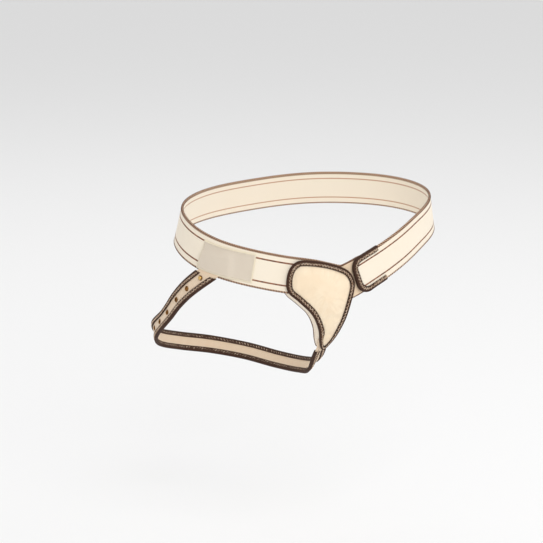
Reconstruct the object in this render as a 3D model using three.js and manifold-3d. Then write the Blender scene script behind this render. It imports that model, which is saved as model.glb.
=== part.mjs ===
// A hernia belt for the right groin: an elastic hip belt that closes in front with a hook tab,
// a groin pad with a bound cover, and a strap that runs from the pad's tip between the legs and
// round the right buttock back to the belt. Millimetres. +X is the wearer's left, -Y the front
// and +Z up. The belt keeps the form that it has on the hips.
import * as THREE from "three";
import Module from "manifold-3d";
import { mergeVertices } from "three/addons/utils/BufferGeometryUtils.js";

// The hips that give the belt its form, measured to the body side of the webbing at height 0.
const HIP_HALF_WIDTH = 166;
const HIP_HALF_DEPTH = 115.5;
const HIP_FULLNESS = 2.1; // 2 is an ellipse, more is squarer
const FRONT_FLARE = 0.088; // how far the hips widen for each millimetre down, in front
const BACK_FLARE = 0.281; // the same over the buttocks
const GROIN_TUCK = 38; // how far the groin folds in, GROIN_SPAN below GROIN_START
const GROIN_START = -19.5;
const GROIN_SPAN = 71;

// The elastic webbing.
const BELT_WIDTH = 40;
const WEBBING_THICKNESS = 2.2;
const BELT_RISE = 57; // height of the belt's middle at the back above its lowest point
const BELT_LOW_HEIGHT = -10; // height of that lowest point, under the pad
const LAYER_GAP = 0.3; // between two layers that lie on each other
const SEAM_GAP = 2.4; // between the webbing's end and the panel's, under the pad

// Folded binding tape: its face, its thickness on each side, and how far it is proud of the edge.
const BINDING_FACE = 5.4;
const BINDING_THICKNESS = 0.7;

// The closure in front.
const TAB_CLEARANCE = 0.6; // from the pad's inner edge to the tab's end
const TAB_CORNER = 12; // radius of the tab's two corners
const TAB_BOUND_LENGTH = 36; // how far the binding runs back along the tab's two edges
const TAB_DESCENT = 84; // length over which the tab comes down to the hips
const PANEL_UNDERLAP = 46; // how far the panel reaches under the tab
const PANEL_THICKNESS = 2.2;
const HOOK_SETBACK = 9; // from the tab's end
const HOOK_LENGTH = 30;
const HOOK_HEIGHT = 25;
const HOOK_THICKNESS = 1.6;

// The groin pad.
const PAD_WIDTH = 79;
const PAD_HEIGHT = 105;
const PAD_ALONG = -0.1547; // its middle, as a share of half the loop, on the wearer's right
const PAD_DROP = 29.5; // its middle below the belt's
const PAD_TIP_SHARE = 0.3; // the share of its height that is narrow
const COVER_EDGE = 1.6;
const COVER_CROWN = 2.6; // how far the cover swells over its edge
const CUSHION_WALL = 10; // height of the cushion's side wall towards the body
const CUSHION_TIP_WALL = 6;
const CUSHION_SPREAD = 2.5; // how far its wall stands out past the cover's binding
const CUSHION_CROWN = 4; // how far the cushion swells over its wall

// The plain label on the right hip.
const LABEL_LENGTH = 62;
const LABEL_HEIGHT = 31;
const LABEL_THICKNESS = 1.2;
const LABEL_ALONG = -0.3855; // its middle, as a share of half the loop
const LABEL_DROP = 1.2; // its middle below the belt's
const LABEL_TILT = 0.042; // radians

// The strap between the legs.
const STRAP_WIDTH = 20;
const STRAP_THICKNESS = 2;
const STRAP_ALONG = -0.431; // where it leaves the belt, as a share of half the loop
const STRAP_LAP = 14; // how far it laps over the belt, under the label
const STRAP_SKEW = 0.82; // how much further on it leaves the belt for each millimetre across
const STRAP_BOUND_START = 3.5; // from the strap's first place on the hip to its bindings
const STRAP_SQUARING = 30; // length over which the bindings' rings turn square to the strap
const STRAP_TIP_WIDTH = 12; // its width where it is sewn into the pad
const STRAP_TAPER = 60; // length over which it narrows to that
const STRAP_REACH = 59; // how far back it runs on the hip, and how far down
const STRAP_FALL = 66;
const CROTCH_DROP = 130;
const STRAP_SEWN = 13; // how far it runs into the pad's tip

// Brass eyelets in the strap, and the stud in the first of them.
const EYELET_COUNT = 6;
const EYELET_FIRST = 10.3; // from the belt's lower edge
const EYELET_PITCH = 23.5;
const EYELET_FLANGE_RADIUS = 2.9;
const EYELET_BARREL_RADIUS = 2.2;
const EYELET_BORE_RADIUS = 1.6;
const EYELET_FLANGE = 0.6;
const STUD_SHANK_RADIUS = 1.2;
const STUD_CAP_RADIUS = 2.1;
const STUD_CAP_HEIGHT = 1.1;
const STUD_BASE = 0.7;

// The belt's middle line: along is a share of half the loop, 0 in front and -1 and 1 at the back;
// rise is a share of BELT_RISE.
const BELT_ROUTE = [
  { along: -1.0, rise: 1.0 },
  { along: -0.82, rise: 1.0 },
  { along: -0.68, rise: 0.955 },
  { along: -0.575, rise: 0.86 },
  { along: -0.485, rise: 0.7 },
  { along: -0.404, rise: 0.55 },
  { along: -0.325, rise: 0.42 },
  { along: -0.246, rise: 0.29 },
  { along: -0.181, rise: 0.19 },
  { along: -0.138, rise: 0.09 },
  { along: -0.1, rise: 0.01 },
  { along: -0.063, rise: 0.075 },
  { along: -0.01, rise: 0.22 },
  { along: 0.075, rise: 0.435 },
  { along: 0.193, rise: 0.675 },
  { along: 0.3, rise: 0.795 },
  { along: 0.46, rise: 0.89 },
  { along: 0.65, rise: 0.955 },
  { along: 0.82, rise: 1.0 },
  { along: 1.0, rise: 1.0 },
];

// The pad's outline: across is a share of PAD_WIDTH, from its outer side to its inner side, and
// up a share of PAD_HEIGHT, from its tip to its top.
const PAD_OUTLINE = [
  { across: -0.33, up: 0.995 },
  { across: -0.12, up: 0.99 },
  { across: 0.2, up: 0.925 },
  { across: 0.425, up: 0.83 },
  { across: 0.5, up: 0.7 },
  { across: 0.43, up: 0.497 },
  { across: 0.355, up: 0.29 },
  { across: 0.25, up: 0.09 },
  { across: 0.14, up: 0.0 },
  { across: 0.046, up: 0.09 },
  { across: -0.03, up: 0.262 },
  { across: -0.146, up: 0.43 },
  { across: -0.33, up: 0.575 },
  { across: -0.478, up: 0.686 },
  { across: -0.492, up: 0.811 },
  { across: -0.435, up: 0.935 },
];
const PAD_CENTRE = { across: 0.04, up: 0.645 }; // every stretch of the outline faces it

// The strap on the hip, from where it leaves the belt: back is a share of STRAP_REACH and down a
// share of STRAP_FALL.
const STRAP_ON_HIP = [
  { back: 0.0, down: 0.0 },
  { back: 0.2, down: 0.14 },
  { back: 0.44, down: 0.325 },
  { back: 0.715, down: 0.56 },
  { back: 0.908, down: 0.785 },
  { back: 1.085, down: 0.955 },
];

// The strap below the hip, to the pad: side is a share of HIP_HALF_WIDTH to the wearer's left,
// depth a share of HIP_HALF_DEPTH to the back, and drop a share of CROTCH_DROP.
const STRAP_BELOW = [
  { side: -0.98, depth: 0.6, drop: 0.612 },
  { side: -0.813, depth: 0.859, drop: 0.768 },
  { side: -0.585, depth: 0.955, drop: 0.875 },
  { side: -0.37, depth: 0.865, drop: 0.94 },
  { side: -0.215, depth: 0.57, drop: 0.98 },
  { side: -0.145, depth: 0.19, drop: 1.0 },
  { side: -0.15, depth: -0.21, drop: 0.965 },
  { side: -0.245, depth: -0.542, drop: 0.864 },
];
const THIGH_MIDDLE = { side: -0.5, depth: 0.09, drop: 0.46 }; // the strap's face turns away from it

// How fine the facets are.
const BELT_STEP = 7.5;
const BINDING_STEP = 3.6;
const PAD_POINTS = 56;
const STRAP_STATIONS = 64;
const LABEL_COLUMNS = 15;
const LABEL_ROWS = 8;
const ROUND_SIDES = 12;
const SECTION_STEPS = 720;
const SLOPE_STEP = 0.5;

const PAD_RINGS = [0.3, 0.55, 0.8, 1]; // shares of the way from the pad's centre to its border

// Layers, measured outwards from the hips.
const WEBBING_TOP = WEBBING_THICKNESS;
const OVER_BELT = WEBBING_TOP + LAYER_GAP;
const FOLD_ROOM = BINDING_THICKNESS + LAYER_GAP; // what a folded tape takes on each side
const COVER_BACK = OVER_BELT + FOLD_ROOM;
const HOOK_BACK = PANEL_THICKNESS + LAYER_GAP;
const TAB_LIFT = HOOK_BACK + HOOK_THICKNESS + LAYER_GAP;
const STRAP_ON_BELT = OVER_BELT + STRAP_THICKNESS / 2;
const STRAP_MIDDLE = FOLD_ROOM + STRAP_THICKNESS / 2;
const SEWN_MIDDLE = WEBBING_TOP - STRAP_THICKNESS / 2;

const TAB_MIDDLE = TAB_LIFT + WEBBING_THICKNESS / 2;

const clampShare = (x) => Math.min(1, Math.max(0, x));
const easeShare = (x) => clampShare(x) ** 2 * (3 - 2 * clampShare(x));
const mix = (a, b, share) => a + (b - a) * share;

// The hips' rounded section at a turn from the front, in radians, and its outward direction.
function sectionPoint(turn) {
  const power = 2 / HIP_FULLNESS;
  const side = Math.sin(turn);
  const front = Math.cos(turn);
  return new THREE.Vector2(
    HIP_HALF_WIDTH * Math.sign(side) * Math.abs(side) ** power,
    -HIP_HALF_DEPTH * Math.sign(front) * Math.abs(front) ** power,
  );
}

function sectionOutward(turn) {
  const p = sectionPoint(turn);
  const power = HIP_FULLNESS - 1;
  return new THREE.Vector2(
    (Math.sign(p.x) * (Math.abs(p.x) / HIP_HALF_WIDTH) ** power) / HIP_HALF_WIDTH,
    (Math.sign(p.y) * (Math.abs(p.y) / HIP_HALF_DEPTH) ** power) / HIP_HALF_DEPTH,
  ).normalize();
}

// Distances round the section from the front, at even turns up to the back.
const sectionArcs = [0];
for (let i = 1; i <= SECTION_STEPS; i++) {
  const before = sectionPoint((Math.PI * (i - 1)) / SECTION_STEPS);
  const here = sectionPoint((Math.PI * i) / SECTION_STEPS);
  sectionArcs.push(sectionArcs[i - 1] + here.distanceTo(before));
}
const HALF_LOOP = sectionArcs[SECTION_STEPS];

// Past the back, a distance returns on the other side.
const wrapped = (arc) => arc - 2 * HALF_LOOP * Math.round(arc / (2 * HALF_LOOP));

function turnAt(arc) {
  const distance = Math.abs(wrapped(arc));
  let i = 1;
  while (i < SECTION_STEPS && sectionArcs[i] < distance) i++;
  const share = (distance - sectionArcs[i - 1]) / (sectionArcs[i] - sectionArcs[i - 1]);
  return (Math.sign(wrapped(arc)) * Math.PI * (i - 1 + share)) / SECTION_STEPS;
}

function hipsPoint(arc, height) {
  const turn = turnAt(arc);
  const flare = mix(FRONT_FLARE, BACK_FLARE, (1 - Math.cos(turn)) / 2);
  const fold = Math.max(0, GROIN_START - height) / GROIN_SPAN;
  const tuck = GROIN_TUCK * fold ** 2 * Math.max(0, Math.cos(turn)) ** 2;
  const flat = sectionPoint(turn).addScaledVector(sectionOutward(turn), -height * flare - tuck);
  return new THREE.Vector3(flat.x, flat.y, height);
}

function hipsOutward(arc, height) {
  const onward = hipsPoint(arc + SLOPE_STEP, height).sub(hipsPoint(arc - SLOPE_STEP, height));
  const upward = hipsPoint(arc, height + SLOPE_STEP).sub(hipsPoint(arc, height - SLOPE_STEP));
  return onward.cross(upward).normalize();
}

// A point on the hips, out millimetres off them. Every layer in front and on the hips uses it.
function onHips(arc, height, out) {
  return hipsPoint(arc, height).addScaledVector(hipsOutward(arc, height), out);
}

// A smooth line through the rows of a table, level at its two ends.
function tableLine(rows, across, up, x) {
  const slopeAt = (i) =>
    i === 0 || i === rows.length - 1
      ? 0
      : (rows[i + 1][up] - rows[i - 1][up]) / (rows[i + 1][across] - rows[i - 1][across]);
  let i = 0;
  while (i < rows.length - 2 && rows[i + 1][across] < x) i++;
  const span = rows[i + 1][across] - rows[i][across];
  const t = clampShare((x - rows[i][across]) / span);
  const start = (1 + 2 * t) * (1 - t) ** 2 * rows[i][up] + t * (1 - t) ** 2 * span * slopeAt(i);
  const end = t ** 2 * (3 - 2 * t) * rows[i + 1][up] - t ** 2 * (1 - t) * span * slopeAt(i + 1);
  return start + end;
}

function beltHeight(arc) {
  return BELT_LOW_HEIGHT + BELT_RISE * tableLine(BELT_ROUTE, "along", "rise", wrapped(arc) / HALF_LOOP);
}

// The place on the hips that lies square across the belt's middle line, across millimetres up.
function beltPlace(arc, across) {
  const slope = (beltHeight(arc + SLOPE_STEP) - beltHeight(arc - SLOPE_STEP)) / (2 * SLOPE_STEP);
  const length = Math.hypot(1, slope);
  return { arc: arc - (across * slope) / length, height: beltHeight(arc) + across / length };
}

const onBelt = (arc, across, out) => {
  const place = beltPlace(arc, across);
  return onHips(place.arc, place.height, out);
};

// A closed body from its points and faces, turned so that its faces point out.
function bodyOf(points, faces) {
  let volume = 0;
  for (let i = 0; i < faces.length; i += 3) {
    const [a, b, c] = [points[faces[i]], points[faces[i + 1]], points[faces[i + 2]]];
    volume += a.dot(b.clone().cross(c));
  }
  const turned = volume < 0 ? faces.slice().reverse() : faces;
  const geometry = new THREE.BufferGeometry().setFromPoints(points);
  geometry.setIndex(turned);
  geometry.computeVertexNormals();
  return geometry;
}

// Joins rings of points, each with as many points as the next. Open ends get a flat cap made of
// strips, so a ring holds an even number of points, the first half facing the second.
function loft(rings, closed = false) {
  const count = rings[0].length;
  const faces = [];
  const quad = (a, b, c, d) => faces.push(a, b, c, a, c, d);
  const joins = closed ? rings.length : rings.length - 1;
  for (let i = 0; i < joins; i++) {
    const next = (i + 1) % rings.length;
    for (let j = 0; j < count; j++) {
      const k = (j + 1) % count;
      quad(i * count + j, i * count + k, next * count + k, next * count + j);
    }
  }
  if (!closed) {
    const far = (rings.length - 1) * count;
    for (let k = 0; k < count / 2 - 1; k++) {
      quad(count - 1 - k, count - 2 - k, k + 1, k);
      quad(far + k, far + k + 1, far + count - 2 - k, far + count - 1 - k);
    }
  }
  return bodyOf(rings.flat(), faces);
}

// Joins rings as loft does, and closes each end to one point.
function closedRings(rings, firstPole, lastPole) {
  const count = rings[0].length;
  const faces = [];
  const points = [...rings.flat(), firstPole, lastPole];
  const last = (rings.length - 1) * count;
  for (let j = 0; j < count; j++) {
    const k = (j + 1) % count;
    for (let i = 0; i < last; i += count) {
      faces.push(i + j, i + k, i + count + k, i + j, i + count + k, i + count + j);
    }
    faces.push(points.length - 2, k, j, points.length - 1, last + j, last + k);
  }
  return bodyOf(points, faces);
}

const stationsBetween = (from, to, step) => {
  const count = Math.max(1, Math.round(Math.abs(to - from) / step));
  return Array.from({ length: count + 1 }, (_, i) => mix(from, to, i / count));
};

// Pieces are cut with exact solids.
const wasm = await Module();
wasm.setup();

function solidOf(geometry) {
  const bare = geometry.clone();
  bare.deleteAttribute("normal");
  bare.deleteAttribute("uv");
  const merged = mergeVertices(bare, 1e-4);
  return new wasm.Manifold(
    new wasm.Mesh({
      numProp: 3,
      vertProperties: merged.attributes.position.array,
      triVerts: new Uint32Array(merged.index.array),
    }),
  );
}

function cutAway(geometry, cutters) {
  let solid = solidOf(geometry);
  for (const cutter of cutters) solid = solid.subtract(solidOf(cutter));
  const mesh = solid.getMesh();
  const points = [];
  for (let i = 0; i < mesh.numVert; i++) {
    points.push(new THREE.Vector3().fromArray(mesh.vertProperties, i * mesh.numProp));
  }
  return bodyOf(points, Array.from(mesh.triVerts));
}

const finish = (color, roughness, metalness = 0) =>
  new THREE.MeshStandardMaterial({ color, roughness, metalness });
const creamElastic = finish(0xf3e6d2, 0.85);
const peachVelour = finish(0xecd7bb, 0.95);
const softCotton = finish(0xf1e0c6, 0.9);
const brownTape = finish(0x463229, 0.8);
const greigeLabel = finish(0xded0bd, 0.7);
const brass = finish(0xb8893c, 0.3, 1);

const belt = new THREE.Group();
function addPiece(name, geometry, material) {
  const mesh = new THREE.Mesh(geometry, material);
  mesh.name = name;
  belt.add(mesh);
  return mesh;
}

// Places that several pieces share.
const beltHalf = BELT_WIDTH / 2;
const padArc = PAD_ALONG * HALF_LOOP;
const padHeight = beltHeight(padArc) - PAD_DROP;
const seamArc = BELT_ROUTE.reduce((a, b) => (b.rise < a.rise ? b : a)).along * HALF_LOOP;
const tabEnd = padArc + PAD_WIDTH / 2 + TAB_CLEARANCE + FOLD_ROOM;
const panelEnd = tabEnd + PANEL_UNDERLAP;

// The tab lies on the hook patch, and comes down to the hips past the panel's end.
function tabLift(arc) {
  const start = panelEnd - TAB_DESCENT / 8;
  return TAB_LIFT * (1 - easeShare((arc - start) / TAB_DESCENT));
}

// A strip that lies along the belt's line, from rows of { arc, half, back }.
function strip(rows, thickness) {
  const ring = ({ arc, half, back }) => [
    onBelt(arc, half, back + thickness),
    onBelt(arc, 0, back + thickness),
    onBelt(arc, -half, back + thickness),
    onBelt(arc, -half, back),
    onBelt(arc, 0, back),
    onBelt(arc, half, back),
  ];
  return loft(rows.map(ring));
}

const evenStrip = (from, to, half, back, thickness) =>
  strip(stationsBetween(from, to, BELT_STEP).map((arc) => ({ arc, half, back })), thickness);

// The tape that is folded over an edge: rings round a narrow U that opens towards the piece.
// place(i, inset, out) is inset millimetres in from the edge and out from the piece's middle.
function foldedTape(count, place, thickness, closed = false) {
  const inside = thickness / 2 + LAYER_GAP;
  const outside = thickness / 2 + FOLD_ROOM;
  const section = [
    [BINDING_FACE, outside],
    [-FOLD_ROOM, outside],
    [-FOLD_ROOM, -outside],
    [BINDING_FACE, -outside],
    [BINDING_FACE, -inside],
    [-LAYER_GAP, -inside],
    [-LAYER_GAP, inside],
    [BINDING_FACE, inside],
  ];
  const rings = [];
  for (let i = 0; i < count; i++) rings.push(section.map(([inset, out]) => place(i, inset, out)));
  return tapeOf(rings, closed);
}

// Joins the tape's rings. Its open ends are closed by the three walls of the U.
function tapeOf(rings, closed) {
  const count = 8;
  const faces = [];
  const joins = closed ? rings.length : rings.length - 1;
  for (let i = 0; i < joins; i++) {
    const next = ((i + 1) % rings.length) * count;
    for (let j = 0; j < count; j++) {
      const k = (j + 1) % count;
      faces.push(i * count + j, i * count + k, next + k, i * count + j, next + k, next + j);
    }
  }
  if (!closed) {
    const far = (rings.length - 1) * count;
    const walls = [[0, 1, 6, 7], [1, 2, 5, 6], [2, 3, 4, 5]];
    for (const [a, b, c, d] of walls) {
      faces.push(a, c, b, a, d, c);
      faces.push(far + a, far + b, far + c, far + a, far + c, far + d);
    }
  }
  return bodyOf(rings.flat(), faces);
}

// The belt starts at the tab, rounds the wearer's left side and the back, and ends at the seam
// under the pad.
function waistBelt() {
  const steps = 5;
  const rows = [];
  for (let i = 0; i < steps; i++) {
    const angle = ((Math.PI / 2) * i) / steps;
    const arc = tabEnd + TAB_CORNER * (1 - Math.cos(angle));
    const half = beltHalf - TAB_CORNER * (1 - Math.sin(angle));
    rows.push({ arc, half, back: TAB_LIFT });
  }
  const seam = seamArc + 2 * HALF_LOOP - SEAM_GAP / 2;
  for (const arc of stationsBetween(tabEnd + TAB_CORNER, seam, BELT_STEP)) {
    rows.push({ arc, half: beltHalf, back: tabLift(arc) });
  }
  return strip(rows, WEBBING_THICKNESS);
}

// The tab's edge, from its upper side round its end to its lower side: back is the distance from
// the end, and inward is the direction in which the binding's face reaches.
function tabEdge() {
  const inner = beltHalf - TAB_CORNER;
  const upper = stationsBetween(TAB_BOUND_LENGTH, TAB_CORNER, BINDING_STEP).map((back) => ({
    back,
    across: beltHalf,
    inwardBack: 0,
    inwardAcross: -1,
  }));
  const steps = 5;
  for (let i = 1; i <= steps; i++) {
    const angle = ((Math.PI / 2) * i) / steps;
    upper.push({
      back: TAB_CORNER * (1 - Math.sin(angle)),
      across: inner + TAB_CORNER * Math.cos(angle),
      inwardBack: Math.sin(angle),
      inwardAcross: -Math.cos(angle),
    });
  }
  const mirrored = (row) => ({ ...row, across: -row.across, inwardAcross: -row.inwardAcross });
  return [...upper, ...upper.map(mirrored).reverse()];
}

function tabBinding() {
  const edge = tabEdge();
  const place = (i, inset, out) => {
    const { back, across, inwardBack, inwardAcross } = edge[i];
    const arc = tabEnd + back + inwardBack * inset;
    return onBelt(arc, across + inwardAcross * inset, TAB_MIDDLE + out);
  };
  return foldedTape(edge.length, place, WEBBING_THICKNESS);
}

addPiece("waist_belt", waistBelt(), creamElastic);
addPiece("tab_binding", tabBinding(), brownTape);
addPiece(
  "fastening_panel",
  evenStrip(seamArc + SEAM_GAP / 2, panelEnd, beltHalf, 0, PANEL_THICKNESS),
  peachVelour,
);
const hookStart = tabEnd + HOOK_SETBACK;
addPiece(
  "hook_patch",
  evenStrip(hookStart, hookStart + HOOK_LENGTH, HOOK_HEIGHT / 2, HOOK_BACK, HOOK_THICKNESS),
  softCotton,
);

// The pad's outline, from its middle, in millimetres along the hips and up.
const padRow = ({ across, up }) => new THREE.Vector3(across * PAD_WIDTH, (up - 0.5) * PAD_HEIGHT, 0);
const padCurve = new THREE.CatmullRomCurve3(PAD_OUTLINE.map(padRow), true);
const padCentre = padRow(PAD_CENTRE);
const padBorder = padCurve.getSpacedPoints(PAD_POINTS).slice(0, PAD_POINTS);
const padInward = padBorder.map((point, i) => {
  const before = padBorder[(i + PAD_POINTS - 1) % PAD_POINTS];
  const after = padBorder[(i + 1) % PAD_POINTS];
  const inward = new THREE.Vector3(after.y - before.y, before.x - after.x, 0).normalize();
  return inward.dot(padCentre.clone().sub(point)) < 0 ? inward.negate() : inward;
});

// A point by the pad's edge, or share of the way to it from the pad's centre. Near the tip, what
// lies inside the edge keeps more to the pad's middle, so that the two sides don't cross.
function padPlace(i, inset, out, share = 1) {
  const edge = padBorder[i].clone().addScaledVector(padInward[i], Math.min(inset, FOLD_ROOM));
  const middling = padCentre.clone().sub(edge).normalize();
  const nearTip = 1 - easeShare((padBorder[i].y / PAD_HEIGHT + 0.5) / PAD_TIP_SHARE);
  const inward = padInward[i].clone().lerp(middling, nearTip).normalize();
  const border = edge.addScaledVector(inward, Math.max(0, inset - FOLD_ROOM));
  const point = padCentre.clone().lerp(border, share);
  return onHips(padArc + point.x, padHeight + point.y, out);
}

const padRing = (inset, outAt, share = 1) =>
  padBorder.map((point, i) => padPlace(i, inset, outAt(i), share));

// The cover lies flat where the binding holds it, and swells towards its middle.
function padCover() {
  const held = FOLD_ROOM + BINDING_FACE + 3 * LAYER_GAP;
  const top = COVER_BACK + COVER_EDGE;
  const swell = (share) => top + COVER_CROWN * (1 - share ** 2);
  const backs = PAD_RINGS.map((share) => padRing(held, () => COVER_BACK, share));
  const faces = PAD_RINGS.map((share) => padRing(held, () => swell(share), share)).reverse();
  const edges = [padRing(FOLD_ROOM, () => COVER_BACK), padRing(FOLD_ROOM, () => top)];
  return closedRings(
    [...backs, ...edges, ...faces],
    padPlace(0, 0, COVER_BACK, 0),
    padPlace(0, 0, swell(0), 0),
  );
}

// The cushion lies under the cover, towards the body, and is thinner at the tip. Its foot spreads
// below the belt, where the groin leaves room for it.
function padCushion() {
  const side = FOLD_ROOM;
  const rounding = 4;
  const upAt = (i) => padBorder[i].y / PAD_HEIGHT + 0.5;
  const wallAt = (i) => mix(CUSHION_TIP_WALL, CUSHION_WALL, easeShare(2 * upAt(i)));
  const footAt = (i) => -CUSHION_SPREAD * (1 - easeShare((upAt(i) - 0.6) / 0.25));
  const footRing = (further, outAt) =>
    padBorder.map((point, i) => padPlace(i, footAt(i) + further, outAt(i)));
  const tops = PAD_RINGS.map((share) => padRing(side + rounding, () => WEBBING_TOP, share));
  const sides = [
    padRing(side, () => WEBBING_TOP),
    footRing(0, () => -LAYER_GAP),
    footRing(0, (i) => -0.6 * wallAt(i)),
    footRing(rounding / 3, (i) => -0.9 * wallAt(i)),
  ];
  const swell = (i, share) => -wallAt(i) - CUSHION_CROWN * (1 - share ** 2);
  const backs = PAD_RINGS.map((share) => padRing(side + rounding, (i) => swell(i, share), share));
  return closedRings(
    [...tops, ...sides, ...backs.reverse()],
    padPlace(0, 0, WEBBING_TOP, 0),
    padPlace(0, 0, -CUSHION_WALL - CUSHION_CROWN, 0),
  );
}

// The strap's places on the hips, below them and in the pad's tip, each with its face's direction.
const tipRow = PAD_OUTLINE.reduce((a, b) => (b.up < a.up ? b : a));
const tipPoint = padRow(tipRow);
const strapArc = STRAP_ALONG * HALF_LOOP;
const strapHeight = beltPlace(strapArc, -beltHalf).height;

function strapPlaces() {
  const places = [];
  const add = (point, face) => places.push({ point, face });
  const onSkin = (arc, height, out) => add(onHips(arc, height, out), hipsOutward(arc, height));
  const hipRow = ({ back, down }) =>
    new THREE.Vector2(strapArc - back * STRAP_REACH, strapHeight - down * STRAP_FALL);
  const first = hipRow(STRAP_ON_HIP[0]);
  const lapped = first.clone().sub(hipRow(STRAP_ON_HIP[1])).setLength(STRAP_LAP).add(first);
  onSkin(lapped.x, lapped.y, STRAP_ON_BELT);
  onSkin(first.x, first.y, STRAP_ON_BELT);
  STRAP_ON_HIP.slice(1).map(hipRow).forEach((row, i) => {
    onSkin(row.x, row.y, i < 2 ? STRAP_ON_BELT : STRAP_MIDDLE);
  });
  const below = ({ side, depth, drop }) =>
    new THREE.Vector3(side * HIP_HALF_WIDTH, depth * HIP_HALF_DEPTH, -drop * CROTCH_DROP);
  const middle = below(THIGH_MIDDLE);
  for (const row of STRAP_BELOW) add(below(row), below(row).sub(middle).normalize());
  const inwards = padCentre.clone().sub(tipPoint).normalize();
  for (const sewn of [-STRAP_SEWN / 2, 0, STRAP_SEWN / 2, STRAP_SEWN]) {
    const point = tipPoint.clone().addScaledVector(inwards, sewn);
    onSkin(padArc + point.x, padHeight + point.y, SEWN_MIDDLE);
  }
  return places;
}

const strapRows = strapPlaces();
const strapLine = new THREE.CatmullRomCurve3(strapRows.map((row) => row.point));
const strapFaces = new THREE.CatmullRomCurve3(strapRows.map((row) => row.face));
strapLine.arcLengthDivisions = 1000;
const strapLength = strapLine.getLength();
const strapStep = strapLength / STRAP_STATIONS;
const boundFrom = STRAP_LAP + STRAP_BOUND_START;
const boundTo = strapLength - STRAP_SEWN - STRAP_TIP_WIDTH * 0.6;
const boundStations = stationsBetween(boundFrom, boundTo, strapStep);
const sewnStations = stationsBetween(boundTo, strapLength, BELT_STEP);
const lapStations = stationsBetween(0, boundFrom, strapStep);
const strapStations = [...lapStations, ...boundStations.slice(1), ...sewnStations.slice(1)];

// The strap's middle at a distance from its lapped end, with its face and its side direction.
function strapAt(distance) {
  const t = strapLine.getUtoTmapping(distance / strapLength);
  const onward = strapLine.getTangent(t);
  const side = onward.clone().cross(strapFaces.getPoint(t)).normalize();
  const face = side.clone().cross(onward).normalize();
  const taper = easeShare((distance - strapLength + STRAP_TAPER + STRAP_SEWN) / STRAP_TAPER);
  const half = mix(STRAP_WIDTH, STRAP_TIP_WIDTH, taper) / 2;
  return { middle: strapLine.getPoint(t), onward, side, face, half };
}

const strapPoint = (distance, across, out) => {
  const { middle, side, face } = strapAt(distance);
  return middle.addScaledVector(side, across).addScaledVector(face, out);
};

// A length of strap, grown by some room all round, and by more on its face. Its facets divide
// where the bindings end.
function strapBody(stations, room = 0, faceRoom = room) {
  const out = STRAP_THICKNESS / 2;
  const ring = (distance) => {
    const { half } = strapAt(distance);
    const acrosses = [half + room, half - BINDING_FACE, BINDING_FACE - half, -half - room];
    return [
      ...acrosses.map((across) => strapPoint(distance, across, out + faceRoom)),
      ...acrosses.map((across) => strapPoint(distance, across, -out - room)).reverse(),
    ];
  };
  return loft(stations.map(ring));
}

// A round piece turned about a line square to the strap's face, from [radius, out] pairs.
function turnedOn(distance, profile) {
  const points = profile.map(([radius, out]) => new THREE.Vector2(radius, out));
  const lathe = new THREE.LatheGeometry([...points, points[0]], ROUND_SIDES);
  const { middle, face } = strapAt(distance);
  const upright = new THREE.Quaternion().setFromUnitVectors(new THREE.Vector3(0, 1, 0), face);
  lathe.applyQuaternion(upright);
  lathe.translate(middle.x, middle.y, middle.z);
  lathe.deleteAttribute("normal");
  lathe.deleteAttribute("uv");
  const merged = mergeVertices(lathe, 1e-4);
  const position = merged.attributes.position;
  const corners = [];
  for (let i = 0; i < position.count; i++) {
    corners.push(new THREE.Vector3().fromBufferAttribute(position, i));
  }
  const faces = [];
  const index = merged.index.array;
  for (let i = 0; i < index.length; i += 3) {
    const [a, b, c] = [index[i], index[i + 1], index[i + 2]];
    if (a !== b && b !== c && c !== a) faces.push(a, b, c);
  }
  return bodyOf(corners, faces);
}

const eyeletPlaces = [];
for (let i = 0; i < EYELET_COUNT; i++) {
  eyeletPlaces.push(STRAP_LAP + EYELET_FIRST + i * EYELET_PITCH);
}

function eyelet(distance) {
  const seat = STRAP_THICKNESS / 2 + LAYER_GAP;
  const rim = seat + EYELET_FLANGE;
  return turnedOn(distance, [
    [EYELET_BORE_RADIUS, rim],
    [EYELET_FLANGE_RADIUS, rim],
    [EYELET_FLANGE_RADIUS, seat],
    [EYELET_BARREL_RADIUS, seat],
    [EYELET_BARREL_RADIUS, -seat],
    [EYELET_FLANGE_RADIUS, -seat],
    [EYELET_FLANGE_RADIUS, -rim],
    [EYELET_BORE_RADIUS, -rim],
  ]);
}

// The stud goes through the first eyelet, with a base behind it and a cap in front.
function strapStud(distance) {
  const seat = STRAP_THICKNESS / 2 + LAYER_GAP + EYELET_FLANGE + LAYER_GAP;
  return turnedOn(distance, [
    [0, -seat - STUD_BASE],
    [EYELET_FLANGE_RADIUS, -seat - STUD_BASE],
    [EYELET_FLANGE_RADIUS, -seat],
    [STUD_SHANK_RADIUS, -seat],
    [STUD_SHANK_RADIUS, seat],
    [STUD_CAP_RADIUS, seat],
    [STUD_CAP_RADIUS, seat + STUD_CAP_HEIGHT / 2],
    [STUD_CAP_RADIUS / 2, seat + STUD_CAP_HEIGHT],
    [0, seat + STUD_CAP_HEIGHT],
  ]);
}

function strapWithHoles() {
  const reach = STRAP_THICKNESS;
  const radius = EYELET_BARREL_RADIUS + LAYER_GAP;
  const hole = (distance) =>
    turnedOn(distance, [[0, -reach], [radius, -reach], [radius, reach], [0, reach]]);
  return cutAway(strapBody(strapStations), eyeletPlaces.map(hole));
}

// The bindings run from the belt's lower edge to the pad.
function strapBinding(sign) {
  const place = (i, inset, out) => {
    const distance = boundStations[i];
    const across = sign * (strapAt(distance).half - inset);
    const skew = STRAP_SKEW * Math.max(0, 1 - (distance - boundFrom) / STRAP_SQUARING);
    return strapPoint(distance + skew * across, across, out);
  };
  return foldedTape(boundStations.length, place, STRAP_THICKNESS);
}

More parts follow.
